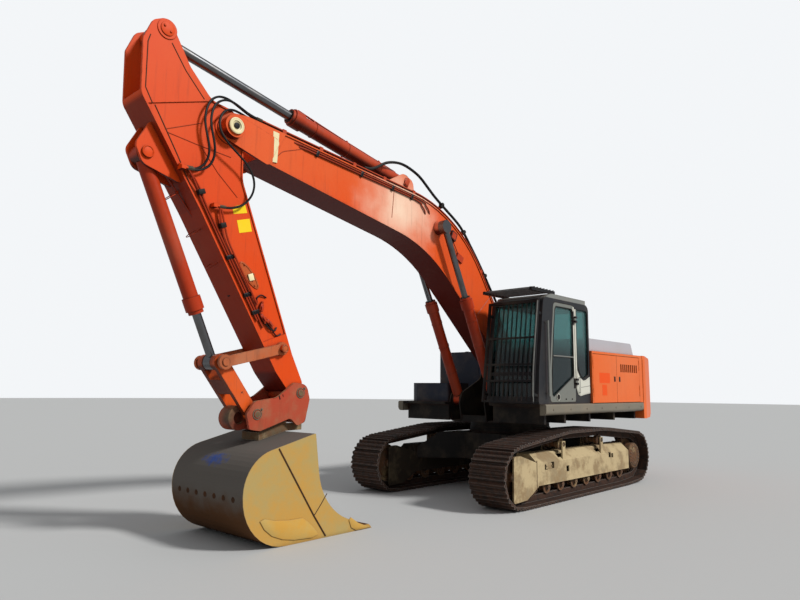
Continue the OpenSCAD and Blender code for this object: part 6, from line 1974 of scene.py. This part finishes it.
@dataclass
class UndercarriageDressing:
    """Bolts, caps and plugs of the drives, idlers and rollers, and the side frames' covers and seams."""

    sprocket: tuple[float, float] = (-2.026, 0.4765)
    idler: tuple[float, float] = (2.026, 0.4515)
    drive_bolts: int = 18
    roller_count: int = 8
    roller_span: float = 3.000

    def build(self) -> None:
        """Makes every piece on the undercarriage."""
        self.build_drives()
        self.build_idlers()
        self.build_rollers()
        self.build_covers()
        self.build_frame_seams()

    def build_drives(self) -> None:
        """Rings each final drive's cover with bolts and gives it three plugs."""
        x, z = self.sprocket
        head = bolt(x + 0.172, 1.403, z, 0.011, 1, 0.009)
        parts = copies(head, turns(self.drive_bolts, x, z))
        plug = disc(x + 0.070, z, 0.016, 1.400, 1.412, 6, 0.002)
        parts += copies(plug, turns(3, x, z, 0.5))
        parts.append(torus((x, 1.404, z), 0.125, 0.005))
        fit("final_drive_bolts", both_sides(parts), Finish.ROLLER, "undercarriage")

    def build_idlers(self) -> None:
        """Caps each idler's axle with a bolted plate."""
        x, z = self.idler
        cap = disc(x, z, 0.062, 1.372, 1.384, 28)
        head = bolt(x + 0.040, 1.383, z, 0.009, 1, 0.006)
        parts = [cap] + copies(head, turns(4, x, z, 0.4))
        fit("idler_caps", both_sides(parts), Finish.ROLLER, "undercarriage")

    def build_rollers(self) -> None:
        """Plugs the lower and carrier rollers' axles."""
        plug = disc(0.0, 0.232, 0.020, 1.372, 1.380, 6, 0.002)
        step = self.roller_span / (self.roller_count - 1)
        places = [((i - (self.roller_count - 1) / 2) * step, 0.0, 0.0) for i in range(self.roller_count)]
        places += [(0.610, 0.0, 0.596), (-0.720, 0.0, 0.596)]
        fit("roller_plugs", both_sides(copies(plug, shifts(places))), Finish.ROLLER, "undercarriage")

    def build_covers(self) -> None:
        """Bolts the grease cover of the track adjuster to each side frame."""
        plate = block((1.02, 1.396, 0.50), (1.20, 1.404, 0.58), 0.004)
        heads = [bolt(1.04, 1.403, 0.54, 0.010), bolt(1.18, 1.403, 0.54, 0.010)]
        fit("adjuster_covers", both_sides([plate] + heads), Finish.MUDDY, "undercarriage")

    def build_frame_seams(self) -> None:
        """Marks the joint between each side frame's idler end and its beam."""
        y = 1.399
        seam = tube([(1.457, y, 0.640), (1.462, y, 0.218), (1.660, y, 0.125)], 0.007)
        fit("side_frame_seams", both_sides([seam]), Finish.SEAM, "undercarriage")


@dataclass
class BucketDressing:
    """Seams, wear plates and plug welds of the bucket, and the coupler's fittings."""

    side: float = 0.720
    coupler_side: float = 0.262

    def build(self) -> None:
        """Makes every piece on the bucket and its coupler."""
        self.build_side_plates()
        self.build_plug_welds()
        self.build_lock_pipes()
        self.build_coupler_caps()

    def build_side_plates(self) -> None:
        """Lays two seams on each side plate and fits the wear plates low down and at the lip."""
        y = self.side + 0.0015
        seam = [tube([(0.640, y, 1.022), (0.385, y, 0.640), (0.13, y, 0.258), (-0.045, y, 0.020)], 0.009),
                tube([(0.128, y, 0.262), (0.030, y, 0.375), (-0.052, y, 0.480)], 0.005)]
        fit("bucket_side_seams", both_sides(seam), Finish.SEAM, "bucket", TIP)
        shoe = ((0.860, 0.300), (0.800, 0.210), (0.700, 0.130), (0.560, 0.075), (0.400, 0.045),
                (0.160, 0.030), (0.060, 0.055), (0.130, 0.130), (0.225, 0.215), (0.300, 0.262),
                (0.480, 0.262), (0.680, 0.285), (0.800, 0.318))
        plates = [prism(shoe, self.side - 0.003, self.side + 0.012, 0.005)]
        lip = ((-0.760, 0.010), (-0.560, 0.085), (-0.430, 0.170), (-0.400, 0.140), (-0.440, 0.050),
               (-0.520, 0.006))
        plates.append(prism(lip, self.side - 0.003, self.side + 0.010, 0.004))
        fit("bucket_wear_plates", both_sides(plates), Finish.BUCKET_SIDE, "bucket", TIP)

    def build_plug_welds(self) -> None:
        """Puts the round plug welds across the back of the wrapper."""
        plugs = []
        turn = Matrix.Rotation(math.radians(-90.0), 4, "Z")
        for y in (-0.54, -0.36, -0.18, 0.0, 0.18, 0.36, 0.54):
            plug = disc(0.0, 0.0, 0.030, -0.006, 0.006, 20, 0.003)
            plug.data.transform(Matrix.Translation((1.0675, y, 0.520)) @ turn)
            plugs.append(plug)
        fit("bucket_plug_welds", plugs, Finish.SEAM, "bucket", TIP)

    def build_lock_pipes(self) -> None:
        """Marks the coupler's left side with two dark strips and runs the two pipes to its lock."""
        y = self.coupler_side
        marks = [block((0.300, y - 0.004, 0.040), (0.312, y + 0.003, 0.088), 0.001),
                 block((0.250, y - 0.004, 0.052), (0.256, y + 0.003, 0.082), 0.001)]
        fit("coupler_marks", marks, Finish.GUARD_BLACK, "bucket", COUPLER)
        route = ((0.58, 0.05, -0.02), (0.66, 0.06, 0.00), (0.72, 0.07, 0.09), (0.78, 0.07, 0.14))
        pipes = [tube([(x, side * across, z) for x, across, z in route], 0.010, 2) for side in (1, -1)]
        fit("coupler_lock_pipes", pipes, Finish.RUBBER, "bucket", COUPLER)

    def build_coupler_caps(self) -> None:
        """Caps the coupler's two pins on both sides."""
        parts = []
        for x in (0.0, 0.658):
            parts += [disc(x, 0.0, 0.038, 0.266, 0.274, 24), torus((x, self.coupler_side, 0.0), 0.056, 0.007)]
            parts.append(bolt(x - 0.075, 0.2605, 0.030, 0.011))
        fit("coupler_pin_caps", both_sides(parts), Finish.ADAPTER, "bucket", COUPLER)


@dataclass
class Studio:
    """Camera, floor and soft light."""

    camera_at: tuple[float, float, float] = (8.179, 6.434, 1.676)
    yaw: float = 222.49
    pitch: float = 7.809
    roll: float = 0.502
    focal_pixels: float = 643.73
    picture_width: float = 800.0
    sensor: float = 36.0
    floor_radius: float = 90.0
    sun_azimuth: float = 112.0
    sun_height: float = 38.0
    sun_strength: float = 3.0
    sun_spread: float = 9.0
    sky_strength: float = 0.42
    sky_colour: tuple[float, float, float, float] = (0.93, 0.96, 1.0, 1.0)
    seen_colour: tuple[float, float, float, float] = (0.90, 0.92, 0.94, 1.0)
    seen_strength: float = 1.0
    view_depth: float = 500.0
    floor_colour: Colour = linear(188, 188, 186)

    def build(self) -> None:
        """Makes the floor and the lights; the camera is made before them."""
        self.build_floor()
        self.build_lights()

    def build_camera(self) -> None:
        """Places the camera where the photographer stood."""
        yaw, pitch, roll = (math.radians(a) for a in (self.yaw, self.pitch, self.roll))
        ahead = Vector((math.cos(yaw) * math.cos(pitch), math.sin(yaw) * math.cos(pitch), math.sin(pitch)))
        right = Vector((math.sin(yaw), -math.cos(yaw), 0.0))
        up = right.cross(ahead)
        turned_right = right * math.cos(roll) + up * math.sin(roll)
        turned_up = up * math.cos(roll) - right * math.sin(roll)
        data = bpy.data.cameras.new("camera")
        data.sensor_width = self.sensor
        data.lens = self.focal_pixels / self.picture_width * self.sensor
        data.clip_end = self.view_depth
        camera = bpy.data.objects.new("camera", data)
        bpy.context.scene.collection.objects.link(camera)
        turn = Matrix((turned_right, turned_up, -ahead)).transposed().to_4x4()
        camera.matrix_world = Matrix.Translation(self.camera_at) @ turn
        bpy.context.scene.camera = camera

    def build_floor(self) -> None:
        """Lays a plain pale floor."""
        deselect()
        bpy.ops.mesh.primitive_circle_add(vertices=96, radius=self.floor_radius, fill_type="NGON")
        floor = bpy.context.active_object
        floor.name = "floor"
        material, tree, shader = new_material("floor_plain")
        tree.feed(shader.inputs["Base Color"], self.floor_colour)
        shader.inputs["Roughness"].default_value = 0.9
        floor.data.materials.append(material)
        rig.stage(floor)

    def build_lights(self) -> None:
        """Sets one wide soft key light and an even sky."""
        sun = bpy.data.lights.new("key", "SUN")
        sun.energy = self.sun_strength
        sun.angle = math.radians(self.sun_spread)
        lamp = bpy.data.objects.new("key", sun)
        bpy.context.scene.collection.objects.link(lamp)
        azimuth, height = math.radians(self.sun_azimuth), math.radians(self.sun_height)
        towards = Vector((math.cos(azimuth) * math.cos(height), math.sin(azimuth) * math.cos(height),
                          math.sin(height)))
        lamp.rotation_euler = towards.to_track_quat("Z", "Y").to_euler()
        world = bpy.data.worlds.new("studio")
        bpy.context.scene.world = world
        world.use_nodes = True
        world.node_tree.nodes.clear()
        tree = Tree(world.node_tree)
        sky = tree.add("ShaderNodeBackground", {"Color": self.sky_colour, "Strength": self.sky_strength})
        seen = tree.add("ShaderNodeBackground", {"Color": self.seen_colour, "Strength": self.seen_strength})
        path = tree.add("ShaderNodeLightPath")
        shown = tree.math("MAXIMUM", path.outputs["Is Camera Ray"], path.outputs["Is Transmission Ray"])
        mix = tree.add("ShaderNodeMixShader", {0: shown, 1: sky.outputs[0], 2: seen.outputs[0]})
        output = tree.add("ShaderNodeOutputWorld")
        tree.feed(output.inputs["Surface"], mix.outputs[0])


def main() -> None:
    """Builds the scene in order."""
    logging.basicConfig(level=logging.INFO, format="%(name)s: %(message)s")
    bpy.context.scene.view_settings.view_transform = "Standard"
    studio = Studio()
    studio.build_camera()
    ArmHoses().build()
    studio.build()
    dress_frame()
    for dressing in (BoomDressing(), ArmPin(), ArmDressing(), *CYLINDERS, CabDressing(), SeatPads(),
                     BodyDressing(), UndercarriageDressing(), BucketDressing()):
        dressing.build()
        LOG.info("%s is done", type(dressing).__name__)
    with open(SIZE_FILE, "w", encoding="utf-8") as file:
        json.dump({"cad": CAD_BOX, "visual": [list(corner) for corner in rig.bounds()]}, file)


if __name__ == "__main__":
    main()
